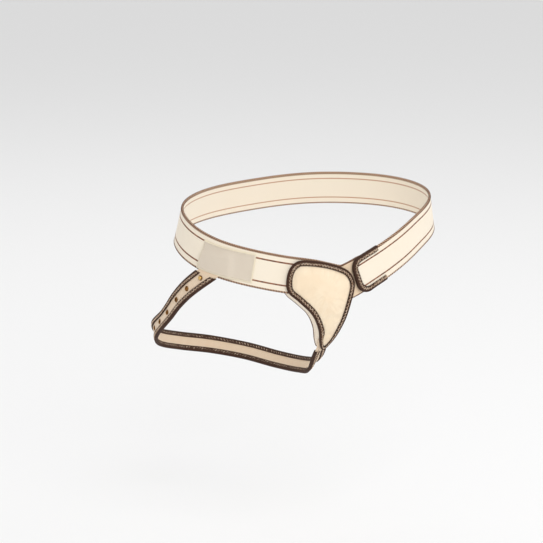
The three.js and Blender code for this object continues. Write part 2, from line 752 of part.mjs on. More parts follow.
function cushionInPlace() {
  const room = LAYER_GAP;
  const from = padArc - PAD_WIDTH / 2 - BELT_STEP;
  const to = padArc + PAD_WIDTH / 2 + BELT_STEP;
  const above = CUSHION_WALL; // the cuts are open towards the cover
  const channel = evenStrip(from, to, beltHalf + 2 * room, -2 * room, WEBBING_TOP + above);
  const inPad = strapStations.filter((distance) => distance > strapLength - 2 * STRAP_SEWN);
  const sewn = strapBody(inPad, room, above);
  return cutAway(padCushion(), [channel, sewn]);
}

addPiece("pad_cover", padCover(), softCotton);
addPiece(
  "pad_binding",
  foldedTape(
    PAD_POINTS,
    (i, inset, out) => padPlace(i, inset + FOLD_ROOM, COVER_BACK + COVER_EDGE / 2 + out),
    COVER_EDGE,
    true,
  ),
  brownTape,
);
addPiece("pad_cushion", cushionInPlace(), softCotton);
addPiece("perineal_strap", strapWithHoles(), creamElastic);
addPiece("strap_binding_upper", strapBinding(1), brownTape);
addPiece("strap_binding_lower", strapBinding(-1), brownTape);
eyeletPlaces.forEach((distance, i) => addPiece(`eyelet_${i + 1}`, eyelet(distance), brass));
addPiece("strap_stud", strapStud(eyeletPlaces[0]), brass);

// The label lies on the belt, and rises over the strap's lapped end.
function labelPatch() {
  const middleArc = LABEL_ALONG * HALF_LOOP;
  const lappedCorners = [-STRAP_WIDTH / 2, STRAP_WIDTH / 2].map((across) => strapPoint(0, across, 0));
  const lappedTop = Math.max(...lappedCorners.map((corner) => corner.z));
  const rise = STRAP_ON_BELT + STRAP_THICKNESS / 2 + LAYER_GAP - OVER_BELT;
  const slope = STRAP_WIDTH / 2;
  const place = (x, y, out) => {
    const arc = middleArc + x * Math.cos(LABEL_TILT) - y * Math.sin(LABEL_TILT);
    const across = -LABEL_DROP + x * Math.sin(LABEL_TILT) + y * Math.cos(LABEL_TILT);
    const spot = beltPlace(arc, across);
    const aside = Math.max(0, Math.abs(spot.arc - strapArc - STRAP_LAP / 3) - 0.9 * STRAP_WIDTH);
    const above = Math.max(0, spot.height - lappedTop);
    const bump = rise * (1 - easeShare(aside / slope)) * (1 - easeShare(above / slope));
    return onHips(spot.arc, spot.height, OVER_BELT + bump + out);
  };
  const xs = stationsBetween(-LABEL_LENGTH / 2, LABEL_LENGTH / 2, LABEL_LENGTH / LABEL_COLUMNS);
  const ys = stationsBetween(LABEL_HEIGHT / 2, -LABEL_HEIGHT / 2, LABEL_HEIGHT / LABEL_ROWS);
  const ring = (x) => [
    ...ys.map((y) => place(x, y, LABEL_THICKNESS)),
    ...ys.map((y) => place(x, y, 0)).reverse(),
  ];
  return loft(xs.map(ring));
}

addPiece("label_patch", labelPatch(), greigeLabel);

export default belt;
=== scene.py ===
# %% [markdown]
# # A hernia belt
# A hernia belt is a soft thing that is worn: an elastic belt round the hips, a pad over the right
# groin and a strap that runs back between the legs. A rigid model of it already exists, with every
# piece at its real size. This lesson dresses that model: each piece is made again as the cloth,
# tape, foam or brass that it really is, in the same place.

import math

import bmesh
import bpy
import numpy as np
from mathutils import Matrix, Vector


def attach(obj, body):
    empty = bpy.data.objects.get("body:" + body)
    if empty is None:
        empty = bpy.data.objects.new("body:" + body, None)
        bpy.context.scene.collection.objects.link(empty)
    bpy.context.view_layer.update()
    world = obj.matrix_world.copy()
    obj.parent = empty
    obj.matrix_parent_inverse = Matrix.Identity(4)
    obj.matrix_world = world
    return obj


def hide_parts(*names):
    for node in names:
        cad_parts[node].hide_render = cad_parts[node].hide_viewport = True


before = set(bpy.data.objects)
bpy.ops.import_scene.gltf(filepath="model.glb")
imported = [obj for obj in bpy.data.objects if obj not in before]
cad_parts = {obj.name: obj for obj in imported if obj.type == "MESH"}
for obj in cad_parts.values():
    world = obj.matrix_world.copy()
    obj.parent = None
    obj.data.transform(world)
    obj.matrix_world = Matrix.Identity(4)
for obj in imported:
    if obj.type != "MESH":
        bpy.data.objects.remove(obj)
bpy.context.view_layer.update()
MM = 0.001
print("nodes in the model:", len(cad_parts))

# %% [markdown]
# ## Where the picture is taken from
# The lens and the place of a camera decide how an object's far side shrinks. The photograph was
# taken from well over two metres away with a long lens, so the belt's front and back look almost
# the same size. The camera stands to the front and right of the belt, and a little above it. The
# picture was framed wider than the belt, so a small lens shift moves the belt to its place there.

# %% Set up the camera
IMAGE_SIZE = 543
VIEW_TURN = math.radians(-40)
VIEW_RISE = math.radians(13.5)
VIEW_DISTANCE = 2250.6 * MM
PIXELS_PER_METRE = 877.8
ORIGIN_PIXEL = (305.4, 250.0)
SENSOR_WIDTH = 36.0


def place_camera():
    camera = bpy.data.cameras.new("camera")
    camera.sensor_width = SENSOR_WIDTH
    camera.lens = SENSOR_WIDTH * PIXELS_PER_METRE * VIEW_DISTANCE / IMAGE_SIZE
    camera.shift_x = (IMAGE_SIZE / 2 - ORIGIN_PIXEL[0]) / IMAGE_SIZE
    camera.shift_y = (ORIGIN_PIXEL[1] - IMAGE_SIZE / 2) / IMAGE_SIZE
    holder = bpy.data.objects.new("camera", camera)
    bpy.context.scene.collection.objects.link(holder)
    away = Vector((
        math.sin(VIEW_TURN) * math.cos(VIEW_RISE),
        -math.cos(VIEW_TURN) * math.cos(VIEW_RISE),
        math.sin(VIEW_RISE),
    ))
    holder.location = away * VIEW_DISTANCE
    holder.rotation_euler = away.to_track_quat("Z", "Y").to_euler()
    bpy.context.scene.camera = holder
    return camera


camera = place_camera()
print("lens", round(camera.lens, 1), "mm")

# %% [markdown]
# ## The hips that give the belt its form
# Every piece of the belt takes its form from the hips that it is worn on. So the lesson first
# describes them as a formula, and no mesh is made of it: a rounded section that widens downwards,
# more at the back than in front, with a fold at the groin. A place on it is given as with a tape
# measure: so far round from the front, so high, and so far off the surface.

# %% Describe the hips
HIP_HALF_WIDTH = 166 * MM
HIP_HALF_DEPTH = 115.5 * MM
HIP_FULLNESS = 2.1
FRONT_FLARE = 0.088
BACK_FLARE = 0.281
GROIN_TUCK = 38 * MM
GROIN_START = -19.5 * MM
GROIN_SPAN = 71 * MM
SECTION_STEPS = 1440
SLOPE_STEP = 0.5 * MM


def mix(a, b, share):
    return a + (b - a) * share


def ease(x):
    x = np.clip(x, 0, 1)
    return x * x * (3 - 2 * x)


def section_at(turn):
    power = 2 / HIP_FULLNESS
    side, front = np.sin(turn), np.cos(turn)
    x = HIP_HALF_WIDTH * np.sign(side) * np.abs(side) ** power
    y = -HIP_HALF_DEPTH * np.sign(front) * np.abs(front) ** power
    return np.stack([x, y], -1)


section_turns = np.linspace(-np.pi, np.pi, SECTION_STEPS + 1)
section_steps = np.linalg.norm(np.diff(section_at(section_turns), axis=0), axis=1)
section_arcs = np.concatenate([[0], np.cumsum(section_steps)])
section_arcs -= section_arcs[SECTION_STEPS // 2]
HALF_LOOP = section_arcs[-1]


def wrapped(arc):
    return arc - 2 * HALF_LOOP * np.round(arc / (2 * HALF_LOOP))


def hips_point(arc, height):
    turn = np.interp(wrapped(arc), section_arcs, section_turns)
    flat = section_at(turn)
    power = HIP_FULLNESS - 1
    nx = np.sign(flat[..., 0]) * (np.abs(flat[..., 0]) / HIP_HALF_WIDTH) ** power / HIP_HALF_WIDTH
    ny = np.sign(flat[..., 1]) * (np.abs(flat[..., 1]) / HIP_HALF_DEPTH) ** power / HIP_HALF_DEPTH
    length = np.hypot(nx, ny)
    flare = mix(FRONT_FLARE, BACK_FLARE, (1 - np.cos(turn)) / 2)
    fold = np.maximum(0, GROIN_START - height) / GROIN_SPAN
    tuck = GROIN_TUCK * fold**2 * np.maximum(0, np.cos(turn)) ** 2
    off = -height * flare - tuck
    x = flat[..., 0] + nx / length * off
    y = flat[..., 1] + ny / length * off
    return np.stack([x, y, np.broadcast_to(height, x.shape)], -1)


def unit(vectors):
    return vectors / np.linalg.norm(vectors, axis=-1, keepdims=True)


def hips_outward(arc, height):
    onward = hips_point(arc + SLOPE_STEP, height) - hips_point(arc - SLOPE_STEP, height)
    upward = hips_point(arc, height + SLOPE_STEP) - hips_point(arc, height - SLOPE_STEP)
    return unit(np.cross(onward, upward))


def on_hips(arc, height, out):
    arc, height, out = np.broadcast_arrays(arc, height, out)
    return hips_point(arc, height) + hips_outward(arc, height) * out[..., None]


print("round the hips:", round(2 * HALF_LOOP / MM), "mm")

# %% [markdown]
# ## The line that the belt follows
# On the hips the belt isn't level. It lies high over the buttocks, comes down past the hip bones
# and is lowest under the pad. A short table of places holds that line, and a
# smooth curve joins them. A second kind of place follows from it: so far along the belt, and so far
# across it. Everything that is sewn to the belt uses it.

# %% Draw the belt's line
BELT_WIDTH = 40 * MM
BELT_HALF = BELT_WIDTH / 2
BELT_RISE = 57 * MM
BELT_LOW_HEIGHT = -10 * MM
BELT_ROUTE = [
    {"along": -1.0, "rise": 1.0},
    {"along": -0.82, "rise": 1.0},
    {"along": -0.68, "rise": 0.955},
    {"along": -0.575, "rise": 0.86},
    {"along": -0.485, "rise": 0.7},
    {"along": -0.404, "rise": 0.55},
    {"along": -0.325, "rise": 0.42},
    {"along": -0.246, "rise": 0.29},
    {"along": -0.181, "rise": 0.19},
    {"along": -0.138, "rise": 0.09},
    {"along": -0.1, "rise": 0.01},
    {"along": -0.063, "rise": 0.075},
    {"along": -0.01, "rise": 0.22},
    {"along": 0.075, "rise": 0.435},
    {"along": 0.193, "rise": 0.675},
    {"along": 0.3, "rise": 0.795},
    {"along": 0.46, "rise": 0.89},
    {"along": 0.65, "rise": 0.955},
    {"along": 0.82, "rise": 1.0},
    {"along": 1.0, "rise": 1.0},
]
route_along = np.array([row["along"] for row in BELT_ROUTE])
route_rise = np.array([row["rise"] for row in BELT_ROUTE])
route_slope = np.zeros(len(BELT_ROUTE))
route_slope[1:-1] = (route_rise[2:] - route_rise[:-2]) / (route_along[2:] - route_along[:-2])


def belt_height(arc):
    along = wrapped(arc) / HALF_LOOP
    i = np.clip(np.searchsorted(route_along, along) - 1, 0, len(BELT_ROUTE) - 2)
    span = route_along[i + 1] - route_along[i]
    t = np.clip((along - route_along[i]) / span, 0, 1)
    start = (1 + 2 * t) * (1 - t) ** 2 * route_rise[i] + t * (1 - t) ** 2 * span * route_slope[i]
    end = t**2 * (3 - 2 * t) * route_rise[i + 1] - t**2 * (1 - t) * span * route_slope[i + 1]
    return BELT_LOW_HEIGHT + BELT_RISE * (start + end)


def belt_slope(arc):
    return (belt_height(arc + SLOPE_STEP) - belt_height(arc - SLOPE_STEP)) / (2 * SLOPE_STEP)


def belt_place(arc, across):
    slope = belt_slope(arc)
    length = np.hypot(1, slope)
    return arc - across * slope / length, belt_height(arc) + across / length


def on_belt(arc, across, out):
    place_arc, height = belt_place(arc, across)
    return on_hips(place_arc, height, out)


print("belt's lowest middle point:", round(float(belt_height(-0.1 * HALF_LOOP)) / MM, 1), "mm")

# %% [markdown]
# ## Three ways to make a mesh
# Almost everything here is one of three forms. Webbing, strap and label are plates: a front and a
# back grid with a narrow wall between them, and a plate may have holes. Binding tape and the pad are
# skins: rings of points that follow each other. Sewing thread is a field of short tubes. All three
# are built as arrays, which is quick even for thousands of stitches. Each point also keeps
# its place along and across the cloth, so that the weave can follow the cloth and not the room.

# %% Write the mesh helpers
def mesh_piece(name, points, faces, marks=None):
    """A smooth-shaded object from points and faces, with its faces pointing out."""
    points = np.asarray(points, float).reshape(-1, 3)
    volume = 0.0
    for face in faces:
        first = points[face[:, 0]]
        for k in range(1, face.shape[1] - 1):
            volume += np.einsum("ij,ij->", first, np.cross(points[face[:, k]], points[face[:, k + 1]]))
    if volume < 0:
        faces = [face[:, ::-1] for face in faces]
    mesh = bpy.data.meshes.new(name)
    rows = [row for face in faces for row in face.tolist()]
    mesh.from_pydata(points.tolist(), [], rows)
    for mark, values in (marks or {}).items():
        layer = mesh.attributes.new(mark, "FLOAT", "POINT")
        layer.data.foreach_set("value", np.asarray(values, np.float32).ravel())
    mesh.polygons.foreach_set("use_smooth", [True] * len(mesh.polygons))
    mesh.update()
    piece = bpy.data.objects.new(name, mesh)
    bpy.context.scene.collection.objects.link(piece)
    return piece


def plate(name, front, back, marks, keep=None):
    """Two grids of points joined round their edges and round each hole."""
    rows, columns = front.shape[:2]
    if keep is None:
        keep = np.ones((rows - 1, columns - 1), bool)
    number = np.arange(rows * columns).reshape(rows, columns)
    far = number + rows * columns
    i, j = np.nonzero(keep)
    faces = [np.stack([number[i, j], number[i, j + 1], number[i + 1, j + 1], number[i + 1, j]], 1)]
    faces.append(np.stack([far[i, j], far[i + 1, j], far[i + 1, j + 1], far[i, j + 1]], 1))
    padded_keep = np.pad(keep, 1)
    sides = [
        ((0, -1), (0, 0), (1, 0)),
        ((0, 1), (1, 1), (0, 1)),
        ((-1, 0), (0, 1), (0, 0)),
        ((1, 0), (1, 0), (1, 1)),
    ]
    for (di, dj), (a, b), (c, d) in sides:
        open_side = keep & ~padded_keep[1 + di : rows + di, 1 + dj : columns + dj]
        i, j = np.nonzero(open_side)
        p, q = number[i + a, j + b], number[i + c, j + d]
        faces.append(np.stack([p, q, q + rows * columns, p + rows * columns], 1))
    both = {mark: np.concatenate([values.ravel()] * 2) for mark, values in marks.items()}
    points = np.concatenate([front.reshape(-1, 3), back.reshape(-1, 3)])
    piece = mesh_piece(name, points, faces, both)
    drop_loose_points(piece.data)
    return piece


def drop_loose_points(mesh):
    """Removes the points that no face uses, such as those inside a hole."""
    shape = bmesh.new()
    shape.from_mesh(mesh)
    bmesh.ops.delete(shape, geom=[v for v in shape.verts if not v.link_faces], context="VERTS")
    shape.to_mesh(mesh)
    shape.free()


def skin(name, rings, marks=None, closed=False, poles=None):
    """Rings of points joined one after another, with flat ends, pole points, or no ends."""
    rings = np.asarray(rings, float)
    rows, count = rings.shape[:2]
    number = np.arange(rows * count).reshape(rows, count)
    turned = np.roll(number, -1, axis=1)
    nexts = np.roll(number, -1, axis=0) if closed else number[1:]
    last = rows if closed else rows - 1
    sides = [number[:last], turned[:last], np.roll(nexts, -1, axis=1), nexts]
    faces = [np.stack([side.ravel() for side in sides], 1)]
    points = rings.reshape(-1, 3)
    if poles is not None:
        points = np.concatenate([points, np.asarray(poles, float).reshape(2, 3)])
        first = np.full(count, rows * count)
        faces.append(np.stack([first, turned[0], number[0]], 1))
        faces.append(np.stack([first + 1, number[-1], turned[-1]], 1))
    elif not closed:
        faces.append(number[0][::-1][None])
        faces.append(number[-1][None])
    if poles is not None and marks:
        marks = {
            mark: np.append(np.ravel(values), [np.mean(values[0]), np.mean(values[-1])])
            for mark, values in marks.items()
        }
    return mesh_piece(name, points, faces, marks)


THREAD_SIDES = 5
THREAD_END = 0.6


def threads(name, paths, outward, radius):
    """Short tubes of thread along many paths at once: paths is (threads, points, 3)."""
    tangent = unit(np.gradient(paths, axis=1))
    across = unit(np.cross(tangent, outward))
    upward = np.cross(across, tangent)
    angles = (np.arange(THREAD_SIDES) * 2 * np.pi / THREAD_SIDES)[:, None]
    around = np.cos(angles) * across[:, :, None] + np.sin(angles) * upward[:, :, None]
    narrowed = np.ones(paths.shape[1])
    narrowed[[0, -1]] = THREAD_END
    rings = paths[:, :, None] + around * (radius * narrowed)[None, :, None, None]
    total, steps = paths.shape[:2]
    number = np.arange(total * steps * THREAD_SIDES).reshape(total, steps, THREAD_SIDES)
    turned = np.roll(number, -1, axis=2)
    walls = [number[:, :-1], turned[:, :-1], turned[:, 1:], number[:, 1:]]
    faces = [np.stack([wall.ravel() for wall in walls], 1)]
    faces.append(number[:, 0, ::-1])
    faces.append(number[:, -1])
    return mesh_piece(name, rings.reshape(-1, 3), faces)


def stations(start, end, step):
    return np.linspace(start, end, max(1, round(abs(end - start) / step)) + 1)


def dress(piece, finish, slot, *nodes):
    """Gives a piece its finish, hangs it on the root body and hides the model's parts that it stands for.
    """
    piece.data.materials.clear()
    piece.data.materials.append(finish)
    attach(piece, "root")
    if nodes:
        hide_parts(*nodes)
    print(piece.name, len(piece.data.polygons), "faces")
    return piece


# %% [markdown]
# ## How a finish is put together
# Cloth looks like cloth when three things are right: the colour of its yarn, the way light creeps
# round its fuzz, and the small shadows of its weave. The first two are the shader's colour and
# sheen. The third is a bump made from the place along and across that each point keeps; on the
# belt's and the strap's elastic it is also painted shade, a darker colour in the weave's hollows.
# A few short helpers add nodes, so that each finish below reads as a recipe.

# %% Write the finish helpers
def new_finish(name, roughness, sheen=0.0, metallic=0.0):
    finish = bpy.data.materials.new(name)
    finish.use_nodes = True
    shader = finish.node_tree.nodes["Principled BSDF"]
    shader.inputs["Roughness"].default_value = roughness
    shader.inputs["Metallic"].default_value = metallic
    shader.inputs["Sheen Weight"].default_value = sheen
    shader.inputs["Sheen Roughness"].default_value = 0.5
    shader.inputs["Specular IOR Level"].default_value = 0.5 if metallic else 0.25
    return finish


def add(finish, kind, wires=None, **settings):
    node = finish.node_tree.nodes.new(kind)
    for key, value in settings.items():
        setattr(node, key, value)
    for socket, value in (wires or {}).items():
        if isinstance(value, bpy.types.NodeSocket):
            finish.node_tree.links.new(value, node.inputs[socket])
        else:
            node.inputs[socket].default_value = value
    return node.outputs


def sum_of(finish, operation, *values):
    return add(finish, "ShaderNodeMath", dict(enumerate(values)), operation=operation)[0]


def mark_of(finish, name):
    return add(finish, "ShaderNodeAttribute", attribute_name=name)["Fac"]


def ramp(finish, value, low, high):
    wires = {0: value, 1: low, 2: high, 3: 0.0, 4: 1.0}
    return add(finish, "ShaderNodeMapRange", wires, interpolation_type="SMOOTHSTEP")[0]


def band(finish, value, low, high, soft):
    """1 between two values and 0 outside them, with soft edges."""
    up = ramp(finish, value, low - soft, low + soft)
    down = ramp(finish, value, high - soft, high + soft)
    return sum_of(finish, "SUBTRACT", up, down)


def waves(finish, value, period):
    """0 to 1 and back, once in each period."""
    angle = sum_of(finish, "MULTIPLY", value, 2 * math.pi / period)
    return sum_of(finish, "MULTIPLY_ADD", sum_of(finish, "SINE", angle), 0.5, 0.5)


def cloud(finish, scale, detail=3.0):
    place = add(finish, "ShaderNodeTexCoord")["Object"]
    wires = {"Vector": place, "Scale": scale, "Detail": detail}
    return add(finish, "ShaderNodeTexNoise", wires)["Fac"]


def tint(finish, share, a, b):
    wires = {0: share, 6: a, 7: b}
    return add(finish, "ShaderNodeMix", wires, data_type="RGBA")[2]


def shade(red, green, blue):
    """A colour as seen on a screen, from 0 to 255, as the shader wants it."""
    screen = np.array([red, green, blue]) / 255
    linear = np.where(screen <= 0.04045, screen / 12.92, ((screen + 0.055) / 1.055) ** 2.4)
    return (*linear.tolist(), 1.0)


def colour(finish, value):
    shader = finish.node_tree.nodes["Principled BSDF"]
    if isinstance(value, bpy.types.NodeSocket):
        finish.node_tree.links.new(value, shader.inputs["Base Color"])
    else:
        shader.inputs["Base Color"].default_value = value


def relief(finish, height, depth):
    wires = {"Strength": 1.0, "Distance": depth, "Height": height}
    bump = add(finish, "ShaderNodeBump", wires)["Normal"]
    shader = finish.node_tree.nodes["Principled BSDF"]
    finish.node_tree.links.new(bump, shader.inputs["Normal"])


print("helpers ready")

# %% [markdown]
# ## Floor and light
# Product pictures of cloth use large soft lights, so that the weave shows and no shadow is hard.
# A pale floor below and a pale sky all round do most of the work. One large light in front, on the
# camera's side, gives the folds their direction.

# %% Lay the floor and hang the lights
FLOOR_HEIGHT = -0.34
FLOOR_HALF = 20.0
FLOOR_GREY = shade(244, 244, 244)
SKY_STRENGTH = 0.77
LIGHTS = [
    {"name": "window_light", "place": (-0.8, -2.1, 1.9), "size": 1.8, "power": 25},
    {"name": "side_light", "place": (1.9, -1.1, 1.0), "size": 1.6, "power": 8},
    {"name": "back_light", "place": (0.3, 1.6, 2.0), "size": 1.6, "power": 9},
]


def lay_floor():
    signs = [(-1, -1), (1, -1), (1, 1), (-1, 1)]
    corners = [(FLOOR_HALF * x, FLOOR_HALF * y, FLOOR_HEIGHT) for x, y in signs]
    mesh = bpy.data.meshes.new("floor")
    mesh.from_pydata(corners, [], [(0, 1, 2, 3)])
    floor = bpy.data.objects.new("floor", mesh)
    bpy.context.scene.collection.objects.link(floor)
    paint = new_finish("pale_floor", 0.9)
    colour(paint, FLOOR_GREY)
    mesh.materials.append(paint)


def hang_light(name, place, size, power):
    light = bpy.data.lights.new(name, "AREA")
    light.shape = "DISK"
    light.size = size
    light.energy = power
    holder = bpy.data.objects.new(name, light)
    bpy.context.scene.collection.objects.link(holder)
    holder.location = place
    holder.rotation_euler = Vector(place).to_track_quat("Z", "Y").to_euler()


lay_floor()
for light in LIGHTS:
    hang_light(**light)
world = bpy.data.worlds.new("pale_sky")
world.use_nodes = True
world.node_tree.nodes["Background"].inputs["Color"].default_value = (1, 1, 1, 1)
world.node_tree.nodes["Background"].inputs["Strength"].default_value = SKY_STRENGTH
bpy.context.scene.world = world
bpy.context.scene.view_settings.view_transform = "Standard"
print("floor at", FLOOR_HEIGHT, "m")

# %% [markdown]
# ## The finish of the elastic
# The belt is woven elastic: cream cotton over rubber, with brown yarn woven in along both edges and
# in two thin lines between them. The brown edge isn't solid. Cream yarn crosses it, so it looks
# mottled, and it is wider along the top than along the bottom. The pattern is drawn from the place
# across the belt, so it follows each bend.

# %% Mix the elastic's finish
CREAM = shade(248, 238, 220)
WARM_CREAM = shade(246, 232, 211)
CREAM_SHADOW = shade(236, 221, 194)
EDGE_BROWN = shade(100, 66, 50)
EDGE_SAND = shade(212, 178, 146)
LINE_GROUND = shade(196, 152, 122)
RIB_PITCH = 0.9 * MM
PICK_PITCH = 0.75 * MM
TOP_EDGE = 2.6 * MM
BOTTOM_EDGE = 2.0 * MM
INNER_LINE = 0.2 * BELT_WIDTH
LINE_WIDTH = 1.7 * MM
MOTTLE_PITCH = 2.8 * MM
EDGE_BLUR = 0.15 * MM


def elastic_finish():
    finish = new_finish("cream_elastic", 0.85, sheen=0.25)
    along = mark_of(finish, "along")
    across = mark_of(finish, "across")
    weave = sum_of(finish, "MULTIPLY", waves(finish, across, RIB_PITCH), waves(finish, along, PICK_PITCH))
    base = tint(finish, cloud(finish, 9.0), CREAM, WARM_CREAM)
    base = tint(finish, sum_of(finish, "MULTIPLY", weave, 0.22), base, CREAM_SHADOW)
    top, bottom = BELT_HALF - TOP_EDGE, BOTTOM_EDGE - BELT_HALF
    above = ramp(finish, across, top - EDGE_BLUR, top + EDGE_BLUR)
    below = ramp(finish, across, bottom + EDGE_BLUR, bottom - EDGE_BLUR)
    edges = sum_of(finish, "MAXIMUM", above, below)
    slanted = sum_of(finish, "MULTIPLY_ADD", across, 0.8, along)
    dots = ramp(finish, waves(finish, slanted, MOTTLE_PITCH), 0.3, 0.75)
    mottled = tint(finish, dots, EDGE_BROWN, EDGE_SAND)
    from_middle = sum_of(finish, "ABSOLUTE", across)
    from_line = sum_of(finish, "SUBTRACT", from_middle, BELT_HALF - INNER_LINE)
    line = ramp(finish, sum_of(finish, "ABSOLUTE", from_line), 0.8 * MM, 0.55 * MM)
    woven = tint(finish, line, base, LINE_GROUND)
    painted = tint(finish, edges, woven, mottled)
    relief(finish, sum_of(finish, "MULTIPLY_ADD", edges, 0.8, weave), 0.12 * MM)
    colour(finish, painted)
    return finish


cream_elastic = elastic_finish()


def yarn_finish(name, light, dark, roughness=0.75):
    """Twisted thread: one colour that changes a little from stitch to stitch."""
    finish = new_finish(name, roughness, sheen=0.05)
    colour(finish, tint(finish, ramp(finish, cloud(finish, 420.0, 2.0), 0.38, 0.62), light, dark))
    return finish


brown_yarn = yarn_finish("brown_yarn", shade(134, 93, 70), shade(80, 52, 39))
line_yarn = yarn_finish("line_yarn", shade(162, 112, 86), shade(106, 68, 50))
print("finishes:", cream_elastic.name, brown_yarn.name, line_yarn.name)

# %% [markdown]
# ## The belt
# The belt is one length of webbing. It starts at the tab in front, rounds the left side and the
# back, and ends under the pad. The tab's end has two round corners, and it stands off the hips
# because it lies on the fastening panel. A flat box would do for a stand-in, but the real edge is
# soft, so the plate's front and back come together in a round edge.

# %% Weave the belt
LAYER_GAP = 0.3 * MM
WEBBING_THICKNESS = 2.2 * MM
PANEL_THICKNESS = 2.2 * MM
HOOK_THICKNESS = 1.6 * MM
BINDING_FACE = 5.4 * MM
BINDING_THICKNESS = 0.7 * MM
FOLD_ROOM = BINDING_THICKNESS + LAYER_GAP
TAB_LIFT = PANEL_THICKNESS + HOOK_THICKNESS + 2 * LAYER_GAP
TAB_CLEARANCE = 0.6 * MM
TAB_CORNER = 12 * MM
TAB_DESCENT = 84 * MM
PANEL_UNDERLAP = 46 * MM
PAD_WIDTH = 79 * MM
PAD_ARC = -0.1547 * HALF_LOOP
SEAM_ARC = -0.1 * HALF_LOOP
SEAM_GAP = 2.4 * MM
TAB_END = PAD_ARC + PAD_WIDTH / 2 + TAB_CLEARANCE + FOLD_ROOM
PANEL_END = TAB_END + PANEL_UNDERLAP
WEBBING_STEP = 1.6 * MM
EDGE_STEPS = np.array([0, 0.12, 0.4, 0.9, 1.5]) * MM
WEBBING_COLUMNS = 17
COLUMN_MARGIN = 0.6 * MM


def tab_lift(arc):
    return TAB_LIFT * (1 - ease((arc - PANEL_END + TAB_DESCENT / 8) / TAB_DESCENT))


def soft_edge(distance, thickness):
    """How much of its half thickness a cloth has left at a distance from its edge."""
    share = np.clip(distance / (0.7 * thickness), 0, 1)
    return 0.12 + 0.88 * np.sqrt(1 - (1 - share) ** 2)


def columns_across(half):
    inner = np.linspace(-1, 1, WEBBING_COLUMNS)[None] * (half[:, None] - EDGE_STEPS[-1] - COLUMN_MARGIN)
    low = EDGE_STEPS[None] - half[:, None]
    return np.concatenate([low, inner, -low[:, ::-1]], 1)


def webbing(name, arcs, half, back, thickness):
    across = columns_across(half)
    along = np.broadcast_to(arcs[:, None], across.shape)
    edge = half[:, None] - np.abs(across)
    end = np.minimum(along - arcs[0], arcs[-1] - along)
    body = soft_edge(edge, thickness) * (0.3 + 0.7 * ease(end / thickness))
    middle = back[:, None] + thickness / 2
    front = on_belt(along, across, middle + body * thickness / 2)
    rear = on_belt(along, across, middle - body * thickness / 2)
    return plate(name, front, rear, {"along": along, "across": across})


def tab_half(arc):
    into = np.clip(TAB_CORNER - (arc - TAB_END), 0, TAB_CORNER)
    return BELT_HALF - TAB_CORNER + np.sqrt(TAB_CORNER**2 - into**2)


corner_angles = np.linspace(0, np.pi / 2, 13)[:-1]
corner_arcs = TAB_END + TAB_CORNER * (1 - np.cos(corner_angles))
belt_end = SEAM_ARC + 2 * HALF_LOOP - SEAM_GAP / 2
belt_arcs = np.concatenate([corner_arcs, stations(TAB_END + TAB_CORNER, belt_end, WEBBING_STEP)])
belt = webbing(
    "waist_belt_webbing", belt_arcs, tab_half(belt_arcs), tab_lift(belt_arcs), WEBBING_THICKNESS
)
dress(belt, cream_elastic, "elastic", "waist_belt")

# %% [markdown]
# ## The belt's brown yarn
# Up close the brown edge is thread that wraps round the webbing in slanted turns, and the two inner
# lines are thicker yarns that stand up from the weave. A painted stripe would look right only from
# far off. So each turn of thread is a small tube of its own, made with all the others in one array.

# %% Sew the belt's edges and lines
EDGE_PITCH = MOTTLE_PITCH / 2
EDGE_SLANT = 1.1 * MM
EDGE_THREAD = 0.33 * MM
TAB_BOUND_LENGTH = 36 * MM
LINE_RELIEF = 0.16 * MM
LINE_STEP = 2.4 * MM


def edge_turns(name, arcs, lift, thickness, side, reach):
    """Thread that goes over one edge of a webbing, from its face round to its back."""
    insets = np.array([reach, 0.55 * reach, 0.2 * MM, -0.1 * MM, 0.2 * MM, 0.6 * reach])
    depths = np.array([0.5, 0.54, 0.42, 0.0, -0.42, -0.52]) * thickness
    slants = np.linspace(-0.5, 0.5, len(insets)) * EDGE_SLANT
    along = arcs[:, None] + slants[None]
    across = side * (BELT_HALF - insets)[None]
    middle = lift(along) + thickness / 2
    paths = on_belt(along, across, middle + depths[None])
    facing = unit(on_belt(along, across, middle + depths[None] + MM) - paths)
    sideways = unit(on_belt(along, across + side * MM, middle) - on_belt(along, across, middle))
    return threads(name, paths, unit(facing + sideways), EDGE_THREAD)


def belt_line(name, arcs, across, lift, thickness):
    """One raised yarn along the webbing's face."""
    out = lift(arcs) + thickness
    steps = np.linalg.norm(np.diff(on_belt(arcs, across, out), axis=0), axis=1)
    angles = np.linspace(0, 2 * np.pi, 7)[:-1]
    rings = on_belt(
        arcs[:, None],
        across + LINE_WIDTH / 2 * np.cos(angles)[None],
        out[:, None] + LINE_RELIEF * np.sin(angles)[None],
    )
    print(name, "is", round(float(steps.sum()) / MM), "mm long")
    return skin(name, rings)


edge_arcs = np.arange(TAB_END + TAB_BOUND_LENGTH + MM, belt_end - MM, MOTTLE_PITCH)
line_arcs = stations(TAB_END + BINDING_FACE, belt_end - MM, LINE_STEP)
belt_trim = []
for name, side, reach in (("upper", 1, TOP_EDGE), ("lower", -1, BOTTOM_EDGE)):
    turns = edge_turns(f"belt_edge_thread_{name}", edge_arcs, tab_lift, WEBBING_THICKNESS, side, reach)
    dress(turns, brown_yarn, "elastic")
    line_across = side * (BELT_HALF - INNER_LINE)
    line = belt_line(f"belt_line_{name}", line_arcs, line_across, tab_lift, WEBBING_THICKNESS)
    dress(line, line_yarn, "elastic")
    belt_trim += [turns, line]

# %% [markdown]
# ## The fastening panel
# Under the tab lies a panel of brushed loop cloth, which the tab's hooks grip. It is peachier than
# the belt and looks hatched, because its short loops lie in slanted rows. Hair would show each loop,
# but at this size a slanted bump and a strong sheen give the same look for far less work. Under the
# tab the panel gets a little narrower, so that no corner of it shows past the tab's bound edge.

